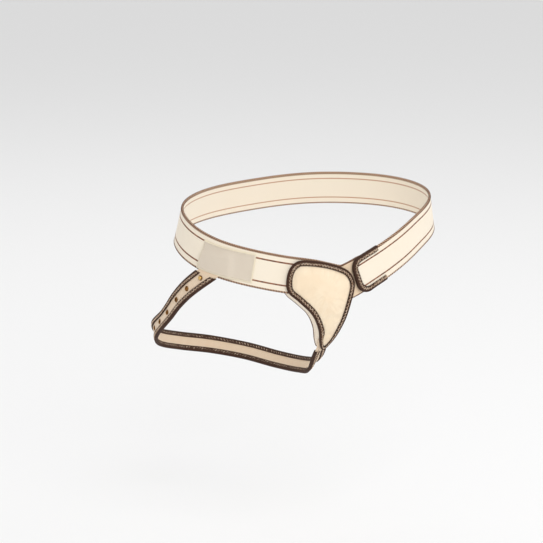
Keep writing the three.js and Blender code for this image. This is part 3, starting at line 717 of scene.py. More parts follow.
# %% Make the panel and the hook patch
PANEL_TUCK = 2 * MM
PANEL_REACH = 1.2 * MM
HOOK_SETBACK = 9 * MM
HOOK_LENGTH = 30 * MM
HOOK_HEIGHT = 25 * MM


def loop_finish():
    finish = new_finish("peach_loop_cloth", 0.95, sheen=0.6)
    along = mark_of(finish, "along")
    across = mark_of(finish, "across")
    slanted = waves(finish, sum_of(finish, "MULTIPLY_ADD", across, 1.2, along), 1.6 * MM)
    crossed = waves(finish, sum_of(finish, "MULTIPLY_ADD", across, -1.2, along), 2.3 * MM)
    hatch = sum_of(finish, "MULTIPLY", slanted, crossed)
    fuzz = cloud(finish, 900.0)
    base = tint(finish, hatch, shade(252, 226, 194), shade(236, 202, 166))
    edge = sum_of(finish, "ABSOLUTE", across)
    brown = ramp(finish, edge, BELT_HALF - 1.7 * MM, BELT_HALF - 1.3 * MM)
    colour(finish, tint(finish, brown, base, shade(140, 104, 78)))
    relief(finish, sum_of(finish, "MULTIPLY_ADD", fuzz, 0.6, hatch), 0.25 * MM)
    return finish


peach_loop_cloth = loop_finish()
panel_arcs = stations(SEAM_ARC + SEAM_GAP / 2, PANEL_END, WEBBING_STEP)
flat_lift = np.zeros_like(panel_arcs)
panel_half = BELT_HALF - PANEL_TUCK * ease((panel_arcs - TAB_END - TAB_CORNER) / TAB_CORNER)
panel = webbing("fastening_panel_cloth", panel_arcs, panel_half, flat_lift, PANEL_THICKNESS)
dress(panel, peach_loop_cloth, "loop_cloth", "fastening_panel")
panel_edge_arcs = np.arange(SEAM_ARC + 2 * MM, TAB_END + TAB_CORNER, EDGE_PITCH)
for name, side in (("upper", 1), ("lower", -1)):
    turns = edge_turns(
        f"panel_edge_thread_{name}", panel_edge_arcs, np.zeros_like, PANEL_THICKNESS, side, PANEL_REACH
    )
    dress(turns, brown_yarn, "loop_cloth")

hook_tape = new_finish("hook_tape", 0.6)
hook_cream = tint(hook_tape, cloud(hook_tape, 1500.0), shade(236, 220, 196), shade(206, 188, 160))
colour(hook_tape, hook_cream)
relief(hook_tape, cloud(hook_tape, 1800.0), 0.3 * MM)
hook_start = TAB_END + HOOK_SETBACK
hook_arcs = stations(hook_start, hook_start + HOOK_LENGTH, WEBBING_STEP)
hook_half = np.full_like(hook_arcs, HOOK_HEIGHT / 2)
hook_back = np.full_like(hook_arcs, PANEL_THICKNESS + LAYER_GAP)
hooks = webbing("hook_patch_tape", hook_arcs, hook_half, hook_back, HOOK_THICKNESS)
dress(hooks, hook_tape, "hook_tape", "hook_patch")

# %% [markdown]
# ## The dark binding
# Tab, pad and strap are bound with dark brown tape, folded over the edge and sewn down with
# overlock stitches. It is the strongest line in the whole picture. The outer rim is plain and
# nearly black, and the inner half is covered by slanted thread, whose light flecks make it look
# mottled. The tape is a skin round the edge, with a soft rim and small scallops where each stitch
# pulls it in. The thread lies over it as tubes.

# %% Write the binding
STITCH_PITCH = 1.8 * MM
COMB_RADIUS = 0.26 * MM
ZIGZAG_RADIUS = 0.36 * MM
OPEN_ENDS = 19 * MM
TAPE_STEP = 0.55 * MM
TAPE_REACH = 4.9 * MM
TAPE_PULL = 0.09 * MM
PULL_INSET = 0.6 * MM
PULL_SPREAD = 1.6 * MM
TAPE_BULGES = [
    {"inset": 4.9, "bulge": -0.45},
    {"inset": 4.5, "bulge": -0.2},
    {"inset": 3.4, "bulge": -0.12},
    {"inset": 2.4, "bulge": -0.2},
    {"inset": 1.4, "bulge": -0.05},
    {"inset": 0.3, "bulge": -0.06},
    {"inset": -0.5, "bulge": -0.32},
]
COMB_STITCH = [
    {"along": 0.0, "inset": 2.9, "proud": -0.1},
    {"along": 0.3, "inset": 3.5, "proud": 0.02},
    {"along": 0.7, "inset": 4.2, "proud": 0.04},
    {"along": 1.1, "inset": 5.0, "proud": -0.1},
    {"along": 1.3, "inset": 5.6, "proud": -0.75},
]
ZIGZAG_STITCH = [
    {"along": 0.2, "inset": 1.5, "proud": -0.05},
    {"along": 1.0, "inset": 2.8, "proud": 0.06},
    {"along": 1.9, "inset": 3.9, "proud": 0.0},
    {"along": 2.6, "inset": 2.7, "proud": 0.06},
    {"along": 3.4, "inset": 1.6, "proud": -0.05},
]
FLECK_SAND = shade(206, 182, 158)
GAP_SAND = shade(216, 192, 164)


def tape_finish(name, length=None):
    """Tape whose inner half shows light between slanted threads, and more so at its open ends."""
    finish = new_finish(name, 0.75)
    along = mark_of(finish, "along")
    inset = mark_of(finish, "across")
    ribs = waves(finish, along, 0.8 * MM)
    slanted = sum_of(finish, "MULTIPLY_ADD", inset, -0.9, along)
    comb = ramp(finish, waves(finish, slanted, 2 * STITCH_PITCH), 0.62, 0.8)
    inner = band(finish, inset, 1.5 * MM, 3.7 * MM, 0.3 * MM)
    specks = ramp(finish, cloud(finish, 700.0, 2.0), 0.42, 0.6)
    light = sum_of(finish, "MULTIPLY", sum_of(finish, "MULTIPLY", comb, inner), specks)
    rim = tint(finish, ribs, shade(48, 29, 20), shade(78, 51, 36))
    painted = tint(finish, light, rim, FLECK_SAND)
    if length:
        end = sum_of(finish, "MINIMUM", along, sum_of(finish, "SUBTRACT", length, along))
        near = ramp(finish, end, OPEN_ENDS, OPEN_ENDS - 3 * MM)
        teeth = ramp(finish, waves(finish, slanted, 2.6 * MM), 0.6, 0.76)
        open_part = ramp(finish, inset, 1.2 * MM, 2.2 * MM)
        gaps = sum_of(finish, "MULTIPLY", sum_of(finish, "MULTIPLY", teeth, open_part), near)
        painted = tint(finish, gaps, painted, GAP_SAND)
    colour(finish, painted)
    relief(finish, ribs, 0.14 * MM)
    return finish


dark_brown_tape = tape_finish("dark_brown_tape")
dark_thread = yarn_finish("dark_thread", shade(88, 60, 44), shade(42, 26, 18), 0.6)
light_thread = yarn_finish("light_thread", shade(234, 211, 186), shade(176, 142, 114), 0.6)


def tape_section(thickness):
    """The folded tape's outline: inset from the edge, and out from the held cloth's middle."""
    face = thickness / 2 + FOLD_ROOM
    inside = thickness / 2 + LAYER_GAP * 0.7
    front = [(row["inset"] * MM, face + row["bulge"] * MM) for row in TAPE_BULGES]
    front += [(-0.86 * MM, 0.55 * face)]
    back = [(inset, -out) for inset, out in reversed(front)]
    inner = [(TAPE_REACH, -inside), (-0.2 * MM, -inside), (-0.2 * MM, inside), (TAPE_REACH, inside)]
    return np.array(front + [(-FOLD_ROOM, 0.0)] + back + inner)


def bound_edge(name, distance, place, thickness, closed=False):
    """Tape round an edge, and the two rows of thread that hold it."""
    section = tape_section(thickness)
    count = max(3, round((distance[-1] - distance[0]) / TAPE_STEP))
    at = np.linspace(distance[0], distance[-1], count + 1)
    if closed:
        at = at[:-1]
    pull = TAPE_PULL * np.cos(2 * np.pi * at / STITCH_PITCH)
    inset = np.broadcast_to(section[None, :, 0], (len(at), len(section)))
    rim = np.exp(-(((inset - PULL_INSET) / PULL_SPREAD) ** 2))
    out = section[None, :, 1] + pull[:, None] * rim * np.sign(section[None, :, 1])
    along = np.broadcast_to(at[:, None], inset.shape)
    tape = skin(f"{name}_tape", place(along, inset, out), {"along": along, "across": inset}, closed)
    face = thickness / 2 + FOLD_ROOM
    starts = np.arange(distance[0] + STITCH_PITCH, distance[-1] - STITCH_PITCH / 2, STITCH_PITCH)
    combs = stitch_rows(f"{name}_comb_thread", starts, place, COMB_STITCH, face, COMB_RADIUS)
    zigzags = stitch_rows(f"{name}_zigzag_thread", starts[::2], place, ZIGZAG_STITCH, face, ZIGZAG_RADIUS)
    return tape, combs, zigzags


def stitch_rows(name, starts, place, stitch, face, radius):
    """The same stitch at every start, from a table of its places on the tape's face."""
    along = starts[:, None] + np.array([step["along"] for step in stitch]) * MM
    inset = np.broadcast_to(np.array([step["inset"] for step in stitch]) * MM, along.shape)
    out = np.broadcast_to(face + np.array([step["proud"] for step in stitch]) * MM, along.shape)
    paths = place(along, inset, out)
    outward = unit(place(along, inset, out + MM) - paths)
    return threads(name, paths, outward, radius)


def dress_binding(pieces, node, finish=dark_brown_tape):
    tape, combs, zigzags = pieces
    dress(tape, finish, "binding", node)
    dress(combs, dark_thread, "binding")
    dress(zigzags, light_thread, "binding")


print("tape section has", len(tape_section(WEBBING_THICKNESS)), "points")

# %% [markdown]
# ## The tab's bound end
# The tab is the end of the belt that is pulled to close it. Its binding starts on the upper edge, goes
# round both corners, and stops on the lower edge. The edge is a straight line, a quarter circle, a
# straight line, a quarter circle and a straight line, so a place on it can be worked out from the
# distance along it.

# %% Bind the tab
def tab_edge_place(distance, inset, out):
    """A place on the tab's edge, at a distance from where the binding starts."""
    straight = TAB_BOUND_LENGTH - TAB_CORNER
    quarter = TAB_CORNER * np.pi / 2
    end = 2 * (BELT_HALF - TAB_CORNER)
    total = 2 * straight + 2 * quarter + end
    mirrored = distance > total / 2
    d = np.where(mirrored, total - distance, distance)
    angle = np.clip((d - straight) / TAB_CORNER, 0, np.pi / 2)
    on_end = np.maximum(0, d - straight - quarter)
    back = TAB_CORNER + np.maximum(0, straight - d) - (TAB_CORNER - inset) * np.sin(angle)
    across = BELT_HALF - TAB_CORNER + (TAB_CORNER - inset) * np.cos(angle) - on_end
    across = np.where(mirrored, -across, across)
    return on_belt(TAB_END + back, across, TAB_LIFT + WEBBING_THICKNESS / 2 + out)


tab_straights = 2 * (TAB_BOUND_LENGTH - TAB_CORNER) + 2 * (BELT_HALF - TAB_CORNER)
tab_edge_length = tab_straights + np.pi * TAB_CORNER
tab_tape = tape_finish("tab_brown_tape", tab_edge_length)
tab_pieces = bound_edge("tab_binding", (0, tab_edge_length), tab_edge_place, WEBBING_THICKNESS)
dress_binding(tab_pieces, "tab_binding", tab_tape)
print("tab's bound edge:", round(tab_edge_length / MM), "mm")

# %% [markdown]
# ## Smooth lines through a few places
# The pad's outline and the strap's way between the legs are both given as a few chosen places. A
# smooth curve goes through them. To space stitches evenly, the lesson also needs to know how long
# the curve is at each of its points, so it is measured once in very short steps.

# %% Write the curve helpers
def curve_point(points, t, closed=False):
    """A place on the curve through some points, where t counts the points from 0."""
    t = np.asarray(t, float)
    count = len(points)
    if closed:
        i = np.floor(t).astype(int)
        p = [points[(i + k) % count] for k in (-1, 0, 1, 2)]
    else:
        wide = np.concatenate([[2 * points[0] - points[1]], points, [2 * points[-1] - points[-2]]])
        i = np.clip(np.floor(t).astype(int), 0, count - 2)
        p = [wide[i + k] for k in range(4)]
    a, b, c = [np.linalg.norm(p[k + 1] - p[k], axis=-1, keepdims=True) ** 0.5 for k in range(3)]
    start = ((p[1] - p[0]) / a - (p[2] - p[0]) / (a + b) + (p[2] - p[1]) / b) * b
    end = ((p[2] - p[1]) / b - (p[3] - p[1]) / (b + c) + (p[3] - p[2]) / c) * b
    u = (t - i)[..., None]
    chord = p[2] - p[1]
    return p[1] + start * u + (3 * chord - 2 * start - end) * u**2 + (start + end - 2 * chord) * u**3


def measured(points, closed=False):
    """The distances along a curve, and the t at each of them."""
    spans = len(points) if closed else len(points) - 1
    ts = np.linspace(0, spans, spans * 80 + 1)
    steps = np.linalg.norm(np.diff(curve_point(points, ts, closed), axis=0), axis=1)
    return np.concatenate([[0], np.cumsum(steps)]), ts


# %% [markdown]
# ## The pad's outline
# From the front the pad is a rounded triangle with its tip down, a little fuller on the side of the
# hip. The outline is flat, as the maker's paper pattern is. Only when the pad is laid on the hips
# does it bend. Near the tip the sides come so close that tape folded in from each of them would
# cross, so there it leans towards the pad's middle.

# %% Draw the pad's outline
PAD_HEIGHT = 105 * MM
PAD_DROP = 29.5 * MM
PAD_TIP_SHARE = 0.3
PAD_LEVEL = float(belt_height(PAD_ARC)) - PAD_DROP
PAD_OUTLINE = [
    {"across": -0.33, "up": 0.995},
    {"across": -0.12, "up": 0.99},
    {"across": 0.2, "up": 0.925},
    {"across": 0.425, "up": 0.83},
    {"across": 0.5, "up": 0.7},
    {"across": 0.43, "up": 0.497},
    {"across": 0.355, "up": 0.29},
    {"across": 0.25, "up": 0.09},
    {"across": 0.14, "up": 0.0},
    {"across": 0.046, "up": 0.09},
    {"across": -0.03, "up": 0.262},
    {"across": -0.146, "up": 0.43},
    {"across": -0.33, "up": 0.575},
    {"across": -0.478, "up": 0.686},
    {"across": -0.492, "up": 0.811},
    {"across": -0.435, "up": 0.935},
]


def pad_pattern(across, up):
    return np.array([across * PAD_WIDTH, (up - 0.5) * PAD_HEIGHT])


pad_outline = np.array([pad_pattern(row["across"], row["up"]) for row in PAD_OUTLINE])
PAD_MIDDLE = pad_pattern(0.04, 0.645)
PAD_TIP = pad_pattern(0.14, 0.0)
pad_distances, pad_ts = measured(pad_outline, closed=True)
PAD_EDGE = pad_distances[-1]
TURN_REACH = 5.4 * MM


def pad_border(distance):
    return curve_point(pad_outline, np.interp(distance % PAD_EDGE, pad_distances, pad_ts), True)


def pad_spot(distance, inset, share=1.0):
    """A place on the flat pattern: in from the edge, or on the way there from the middle."""
    distance, inset, share = np.broadcast_arrays(distance, inset, share)
    border = pad_border(distance)
    onward = pad_border(distance + TURN_REACH) - pad_border(distance - TURN_REACH)
    inward = unit(np.stack([onward[..., 1], -onward[..., 0]], -1))
    inward = inward * np.where(((PAD_MIDDLE - border) * inward).sum(-1) < 0, -1, 1)[..., None]
    edge = border + inward * np.minimum(inset, FOLD_ROOM)[..., None]
    near_tip = 1 - ease((border[..., 1] / PAD_HEIGHT + 0.5) / PAD_TIP_SHARE)[..., None]
    leaning = unit(mix(inward, unit(PAD_MIDDLE - edge), near_tip))
    spot = edge + leaning * np.maximum(0, inset - FOLD_ROOM)[..., None]
    return PAD_MIDDLE + (spot - PAD_MIDDLE) * share[..., None]


def on_pad(spot, out):
    return on_hips(PAD_ARC + spot[..., 0], PAD_LEVEL + spot[..., 1], out)


print("the pad's edge is", round(PAD_EDGE / MM), "mm long")

# %% [markdown]
# ## How a padded piece swells
# Foam and wadding push cloth outward until the seams stop it. A cloth simulation does the same: the
# closed piece is blown up a little from inside, while the points under its binding are held. It is
# run on a copy ten times the real size, because the simulator's forces suit things of about a metre.
# The result is only a distance for each point, which is capped, so the pad keeps its real size.

# %% Write the simulation
SIM_SCALE = 10
SIM_FRAMES = 20
SIM_QUALITY = 6
CLOTH_STIFFNESS = 12
BENDING_STIFFNESS = 0.5


def puff(piece, free, pressure, looseness, cap):
    """Blows a closed piece up from inside, with all but its free points held."""
    count = len(piece.data.vertices)
    rest = np.empty(count * 3)
    piece.data.vertices.foreach_get("co", rest)
    mesh = piece.data.copy()
    mesh.vertices.foreach_set("co", rest * SIM_SCALE)
    twin = bpy.data.objects.new("swelling_copy", mesh)
    bpy.context.scene.collection.objects.link(twin)
    held = twin.vertex_groups.new(name="held")
    held.add([int(i) for i in np.nonzero(~free)[0]], 1.0, "REPLACE")
    cloth = twin.modifiers.new("swelling", "CLOTH")
    cloth.settings.quality = SIM_QUALITY
    cloth.settings.tension_stiffness = CLOTH_STIFFNESS
    cloth.settings.compression_stiffness = CLOTH_STIFFNESS
    cloth.settings.bending_stiffness = BENDING_STIFFNESS
    cloth.settings.use_pressure = True
    cloth.settings.uniform_pressure_force = pressure
    cloth.settings.shrink_min = -looseness
    cloth.settings.vertex_group_mass = "held"
    cloth.settings.effector_weights.gravity = 0
    cloth.point_cache.frame_start = 1
    cloth.point_cache.frame_end = SIM_FRAMES
    for frame_number in range(1, SIM_FRAMES + 1):
        bpy.context.scene.frame_set(frame_number)
    swollen = twin.evaluated_get(bpy.context.evaluated_depsgraph_get()).to_mesh()
    moved = np.empty(count * 3)
    swollen.vertices.foreach_get("co", moved)
    bpy.data.objects.remove(twin)
    bpy.context.scene.frame_set(1)
    shift = (moved / SIM_SCALE - rest).reshape(-1, 3)
    length = np.linalg.norm(shift, axis=1)
    print(piece.name, "swelled by up to", round(float(length.max()) / MM, 2), "mm")
    shift *= np.minimum(1, cap / np.maximum(length, 1e-9))[:, None]
    piece.data.vertices.foreach_set("co", rest + shift.ravel())
    piece.data.update()


def smooth_once(piece):
    rounding = piece.modifiers.new("rounding", "SUBSURF")
    rounding.levels = rounding.render_levels = 1


# %% [markdown]
# ## The pad's cover
# The cover is smooth peach cotton over a thin sheet of foam. The binding holds it flat at the edge,
# and inside it the simulation swells it to a low crown. The rings of its mesh shrink towards the
# pad's middle, but the weave follows the flat pattern's two directions, because the cover was cut
# from straight cloth.

# %% Cut the cover
COVER_BACK = WEBBING_THICKNESS + LAYER_GAP + FOLD_ROOM
COVER_EDGE = 1.6 * MM
COVER_CROWN = 1.0 * MM
COVER_HELD = FOLD_ROOM + BINDING_FACE + 2 * LAYER_GAP
COVER_RISE = 9 * MM
COVER_BACK_RINGS = 8
COVER_FRONT_RINGS = 28
PAD_POINTS = 160
BORDER_SAMPLES = 480


def cotton_finish(name, light, dark, weave_size):
    finish = new_finish(name, 0.9, sheen=0.35)
    along = mark_of(finish, "along")
    across = mark_of(finish, "across")
    weave = sum_of(finish, "ADD", waves(finish, along, weave_size), waves(finish, across, weave_size))
    slub = cloud(finish, 60.0, 5.0)
    colour(finish, tint(finish, ramp(finish, slub, 0.3, 0.7), light, dark))
    relief(finish, sum_of(finish, "MULTIPLY_ADD", slub, 1.5, weave), 0.07 * MM)
    return finish


peach_cotton = cotton_finish("peach_cotton", shade(252, 233, 204), shade(249, 227, 196), 0.55 * MM)
pad_at = np.arange(PAD_POINTS) / PAD_POINTS * PAD_EDGE
border_samples = pad_border(np.arange(BORDER_SAMPLES) / BORDER_SAMPLES * PAD_EDGE)


def pad_skin(name, rows):
    """Rings round the pad, from rows of (inset, share, out), closed at the middle on both sides."""
    spots = np.array([pad_spot(pad_at, inset, share) for inset, share, _ in rows])
    outs = np.empty(spots.shape[:2])
    for i, (_, _, out) in enumerate(rows):
        outs[i] = out(spots[i]) if callable(out) else out
    middles = [on_pad(PAD_MIDDLE, np.mean(outs[end])) for end in (0, -1)]
    marks = {"along": spots[..., 0], "across": spots[..., 1]}
    piece = skin(name, on_pad(spots, outs), marks, poles=middles)
    for mark, value in zip(("along", "across"), PAD_MIDDLE):
        for pole in (-2, -1):
            piece.data.attributes[mark].data[pole].value = value
    return piece, spots


def from_border(spots):
    gaps = spots[..., None, :] - border_samples
    return np.sqrt((gaps**2).sum(-1).min(-1))


def cover_top(spot):
    inside = np.maximum(0, from_border(spot) - COVER_HELD)
    return COVER_BACK + COVER_EDGE + COVER_CROWN * (1 - np.exp(-((inside / COVER_RISE) ** 2)))


cover_rows = [(FOLD_ROOM, share, COVER_BACK) for share in np.linspace(0.1, 1, COVER_BACK_RINGS)]
cover_rows += [(FOLD_ROOM, share, cover_top) for share in np.linspace(1, 0.05, COVER_FRONT_RINGS)]
cover, cover_spots = pad_skin("pad_cover_cloth", cover_rows)
cover_free = from_border(cover_spots) > COVER_HELD
cover_free[:COVER_BACK_RINGS] = False
cover_free = np.append(cover_free.ravel(), [False, True])
puff(cover, cover_free, pressure=1.2, looseness=0.03, cap=3 * MM)
smooth_once(cover)
dress(cover, peach_cotton, "cover_cloth", "pad_cover")


def pad_edge_place(distance, inset, out):
    return on_pad(pad_spot(distance, inset + FOLD_ROOM), COVER_BACK + COVER_EDGE / 2 + out)


pad_pieces = bound_edge("pad_binding", (0, PAD_EDGE), pad_edge_place, COVER_EDGE, closed=True)
dress_binding(pad_pieces, "pad_binding")

# %% [markdown]
# ## The cushion behind the pad
# Behind the cover, towards the groin, sits a foam cushion in cream cloth. In front only its side
# wall shows, below and to the left of the pad, with a thin brown line of slanted thread along its
# outer edge. The foam gives way where the belt and the strap's end pass over it,
# so its upper side sinks there. Its wall and back are blown up by the same simulation as the cover.

# %% Fill the cushion
CUSHION_WALL = 10 * MM
CUSHION_TIP_WALL = 6 * MM
CUSHION_SPREAD = 2.5 * MM
CUSHION_CROWN = 3 * MM
CUSHION_ROUNDING = 4 * MM
STRAP_SEWN = 13 * MM
STRAP_TIP_WIDTH = 12 * MM
SINK_SLOPE = 2.0 * MM
SUNK_DEPTH = 0.6 * MM
BELT_SINK_ROOM = 1.2 * MM
STRAP_SINK_ROOM = 0.8 * MM
WALL_STRAIGHT = 0.6
TOP_RINGS = 22
WALL_RINGS = 7
BACK_RINGS = 20
HELD_WALL_RINGS = 9
CUSHION_THREAD_PITCH = 1.25 * MM
CUSHION_THREAD_LENGTH = 1.3 * MM
CUSHION_THREAD_PATH = [
    {"down": 0.44, "beyond": 0.1},
    {"down": 0.52, "beyond": 0.35},
    {"down": 0.62, "beyond": 0.4},
    {"down": 0.72, "beyond": 0.1},
    {"down": 0.8, "beyond": -0.4},
]
cushion_cotton = cotton_finish("cushion_cotton", shade(248, 235, 216), shade(243, 227, 205), 0.6 * MM)


def up_share(distance):
    return pad_border(distance)[..., 1] / PAD_HEIGHT + 0.5


def wall_at(distance):
    return mix(CUSHION_TIP_WALL, CUSHION_WALL, ease(2 * up_share(distance)))


def foot_at(distance):
    """How far the foot is in from the outline: it spreads below the belt only."""
    return -CUSHION_SPREAD * (1 - ease((up_share(distance) - 0.6) / 0.25))


def sunk_top(spot):
    """The cushion's upper side: just under the belt and the strap's end, and higher elsewhere."""
    arc, height = PAD_ARC + spot[..., 0], PAD_LEVEL + spot[..., 1]
    from_middle = np.abs(height - belt_height(arc)) / np.hypot(1, belt_slope(arc))
    from_belt = from_middle - BELT_HALF - BELT_SINK_ROOM
    inwards = unit(PAD_MIDDLE - PAD_TIP)
    into = (spot - PAD_TIP) @ inwards
    aside = np.abs((spot - PAD_TIP) @ np.array([-inwards[1], inwards[0]])) - STRAP_TIP_WIDTH / 2
    from_strap = np.maximum(aside, into - STRAP_SEWN) - STRAP_SINK_ROOM
    free = ease(from_belt / SINK_SLOPE) * ease(from_strap / SINK_SLOPE)
    return mix(-SUNK_DEPTH, WEBBING_THICKNESS, free)


walls = wall_at(pad_at)
feet = foot_at(pad_at)
seated = FOLD_ROOM + CUSHION_ROUNDING
cushion_rows = [(FOLD_ROOM, share, sunk_top) for share in np.linspace(0.06, 1, TOP_RINGS)]
for down in np.linspace(0, 1, WALL_RINGS)[1:]:
    spread = mix(FOLD_ROOM, feet, math.sin(down * math.pi / 2) ** 0.7)
    cushion_rows.append((spread, 1, mix(-LAYER_GAP, -WALL_STRAIGHT * walls, down)))
for turn in np.linspace(0, math.pi / 2, WALL_RINGS)[1:]:
    inset = mix(feet, seated, 1 - math.cos(turn))
    cushion_rows.append((inset, 1, -walls * mix(WALL_STRAIGHT, 1, math.sin(turn))))
for share in np.linspace(1, 0.06, BACK_RINGS)[1:]:
    cushion_rows.append((seated, share, -walls - CUSHION_CROWN * (1 - share**2)))
cushion, cushion_spots = pad_skin("pad_cushion_foam", cushion_rows)
cushion_free = np.ones(cushion_spots.shape[:2], bool)
cushion_free[: TOP_RINGS + HELD_WALL_RINGS] = False
cushion_free = np.append(cushion_free.ravel(), [False, True])
puff(cushion, cushion_free, pressure=1.5, looseness=0.02, cap=1.6 * MM)
smooth_once(cushion)
dress(cushion, cushion_cotton, "cushion_cloth", "pad_cushion")


# A thin brown line of short slanted threads along the cushion's outer edge, low on its wall.
def cushion_edge_thread():
    starts = np.arange(0, PAD_EDGE - MM, CUSHION_THREAD_PITCH)
    along = starts[:, None] + np.linspace(0, CUSHION_THREAD_LENGTH, len(CUSHION_THREAD_PATH))
    down = wall_at(along) * np.array([step["down"] for step in CUSHION_THREAD_PATH])
    beyond = foot_at(along) - np.array([step["beyond"] for step in CUSHION_THREAD_PATH]) * MM
    paths = on_pad(pad_spot(along, beyond), -down)
    outward = unit(on_pad(pad_spot(along, beyond - MM), -down) - paths)
    return threads("cushion_edge_thread", paths, outward, COMB_RADIUS)


dress(cushion_edge_thread(), brown_yarn, "cushion_cloth")

# %% [markdown]
# ## The strap's way between the legs
# The strap hangs from the belt on the right side, runs down and back, passes between the legs and
# comes up to the pad's tip in front. The first places lie on the hips. The lower ones hang
# free round the thigh, and each of those faces away from the thigh's middle, so the strap turns
# over without a sharp twist.

# %% Lead the strap
STRAP_WIDTH = 20 * MM
STRAP_THICKNESS = 2 * MM
STRAP_ARC = -0.431 * HALF_LOOP
STRAP_LAP = 14 * MM
STRAP_SKEW = 0.82
STRAP_BOUND_START = 3.5 * MM
STRAP_SQUARING = 30 * MM
STRAP_TAPER = 60 * MM
STRAP_REACH = 59 * MM
STRAP_FALL = 66 * MM
CROTCH_DROP = 130 * MM
STRAP_ON_BELT = WEBBING_THICKNESS + LAYER_GAP + STRAP_THICKNESS / 2
STRAP_MIDDLE = 2 * MM
SEWN_MIDDLE = 1.2 * MM
STRAP_ON_HIP = [
    {"back": 0.0, "down": 0.0},
    {"back": 0.2, "down": 0.14},
    {"back": 0.44, "down": 0.325},
    {"back": 0.715, "down": 0.56},
    {"back": 0.908, "down": 0.785},
    {"back": 1.085, "down": 0.955},
]
STRAP_BELOW = [
    {"side": -0.98, "depth": 0.6, "drop": 0.612},
    {"side": -0.813, "depth": 0.859, "drop": 0.768},
    {"side": -0.585, "depth": 0.955, "drop": 0.875},
    {"side": -0.37, "depth": 0.865, "drop": 0.94},
    {"side": -0.215, "depth": 0.57, "drop": 0.98},
    {"side": -0.145, "depth": 0.19, "drop": 1.0},
    {"side": -0.15, "depth": -0.21, "drop": 0.965},
    {"side": -0.245, "depth": -0.542, "drop": 0.864},
]
THIGH_MIDDLE = {"side": -0.5, "depth": 0.09, "drop": 0.46}
strap_top = float(belt_place(STRAP_ARC, -BELT_HALF)[1])


def on_hip_row(row):
    return np.array([STRAP_ARC - row["back"] * STRAP_REACH, strap_top - row["down"] * STRAP_FALL])


def below_row(row):
    scale = np.array([HIP_HALF_WIDTH, HIP_HALF_DEPTH, -CROTCH_DROP])
    return np.array([row["side"], row["depth"], row["drop"]]) * scale


def strap_rows():
    hip = [on_hip_row(row) for row in STRAP_ON_HIP]
    lapped = hip[0] + unit(hip[0] - hip[1]) * STRAP_LAP
    outs = [STRAP_ON_BELT] * 4 + [STRAP_MIDDLE] * 3
    points = [on_hips(*spot, out) for spot, out in zip([lapped] + hip, outs)]
    faces = [hips_outward(*spot) for spot in [lapped] + hip]
    below = [below_row(row) for row in STRAP_BELOW]
    points += below
    faces += [unit(place - below_row(THIGH_MIDDLE)) for place in below]
    inwards = unit(PAD_MIDDLE - PAD_TIP)
    for sewn in (-STRAP_SEWN / 2, 0, STRAP_SEWN / 2, STRAP_SEWN):
        spot = PAD_TIP + inwards * sewn
        points.append(on_pad(spot, SEWN_MIDDLE))
        faces.append(hips_outward(PAD_ARC + spot[0], PAD_LEVEL + spot[1]))
    return np.array(points), np.array(faces)


strap_points, strap_faces = strap_rows()
strap_distances, strap_ts = measured(strap_points)
STRAP_LENGTH = strap_distances[-1]


def strap_half(distance):
    taper = ease((distance - STRAP_LENGTH + STRAP_TAPER + STRAP_SEWN) / STRAP_TAPER)
    return mix(STRAP_WIDTH, STRAP_TIP_WIDTH, taper) / 2


def strap_frame(distance):
    t = np.interp(distance, strap_distances, strap_ts)
    ahead, behind = np.minimum(t + 1e-3, strap_ts[-1]), np.maximum(t - 1e-3, 0)
    onward = unit(curve_point(strap_points, ahead) - curve_point(strap_points, behind))
    side = unit(np.cross(onward, curve_point(strap_faces, t)))
    return curve_point(strap_points, t), side, unit(np.cross(side, onward))


def strap_point(distance, across, out):
    distance, across, out = np.broadcast_arrays(distance, across, out)
    middle, side, face = strap_frame(distance)
    return middle + side * across[..., None] + face * out[..., None]


print("the strap is", round(STRAP_LENGTH / MM), "mm long")

# %% [markdown]
# ## The strap's elastic, with its holes
# Between its bindings the strap shows ribbed cream elastic with a row of holes in it. The holes are
# real: the grid of the plate is made finer there, the cells inside each hole are left out, and the
# points round it are moved on to the circle. A dark dot painted on the strap would look the same from
# the front, but light would never fall through it.

# %% Weave the strap
STRAP_STEP = 1.3 * MM
HOLE_FIELD = 3.2 * MM
HOLE_LINES = 17
HOLE_CATCH = 0.21 * MM
FIELD_ROOM = 0.3 * MM
FIELD_BORDER = 0.25 * MM
EYELET_FIRST = STRAP_LAP + 10.3 * MM
EYELET_PITCH = 23.5 * MM
EYELET_COUNT = 6
EYELET_BARREL_RADIUS = 2.2 * MM
HOLE_RADIUS = EYELET_BARREL_RADIUS + LAYER_GAP
eyelet_places = EYELET_FIRST + EYELET_PITCH * np.arange(EYELET_COUNT)


def strap_finish():
    finish = new_finish("strap_elastic", 0.85, sheen=0.25)
    along = mark_of(finish, "along")
    across = mark_of(finish, "across")
    rib = waves(finish, across, 1.3 * MM)
    pick = waves(finish, along, 1.0 * MM)
    base = tint(finish, cloud(finish, 80.0), shade(252, 234, 210), shade(247, 224, 196))
    # The rib's hollows get a darker cream: painted shade between the ribs.
    colour(finish, tint(finish, ramp(finish, rib, 0.0, 0.5), shade(226, 190, 152), base))
    relief(finish, sum_of(finish, "MULTIPLY_ADD", rib, 1.6, pick), 0.16 * MM)
    return finish


def strap_grid():
    """Rows and columns of the strap, finer where its holes are."""
    fine = np.linspace(-HOLE_FIELD, HOLE_FIELD, HOLE_LINES)
    rows = set(np.round(stations(0, STRAP_LENGTH, STRAP_STEP), 7))
    for place in eyelet_places:
        rows = {row for row in rows if abs(row - place) > HOLE_FIELD + FIELD_ROOM}
        rows |= set(np.round(place + fine, 7))
    rows = np.array(sorted(rows))
    side = np.concatenate([np.linspace(0.001, 1, 5)[:-1] ** 1.5, [1]])
    half = strap_half(rows)[:, None]
    outer = mix(half, HOLE_FIELD + FIELD_BORDER, side[None] ** 0.8)
    across = np.concatenate([-outer, np.broadcast_to(fine, (len(rows), HOLE_LINES)), outer[:, ::-1]], 1)
    return np.broadcast_to(rows[:, None], across.shape), across, half


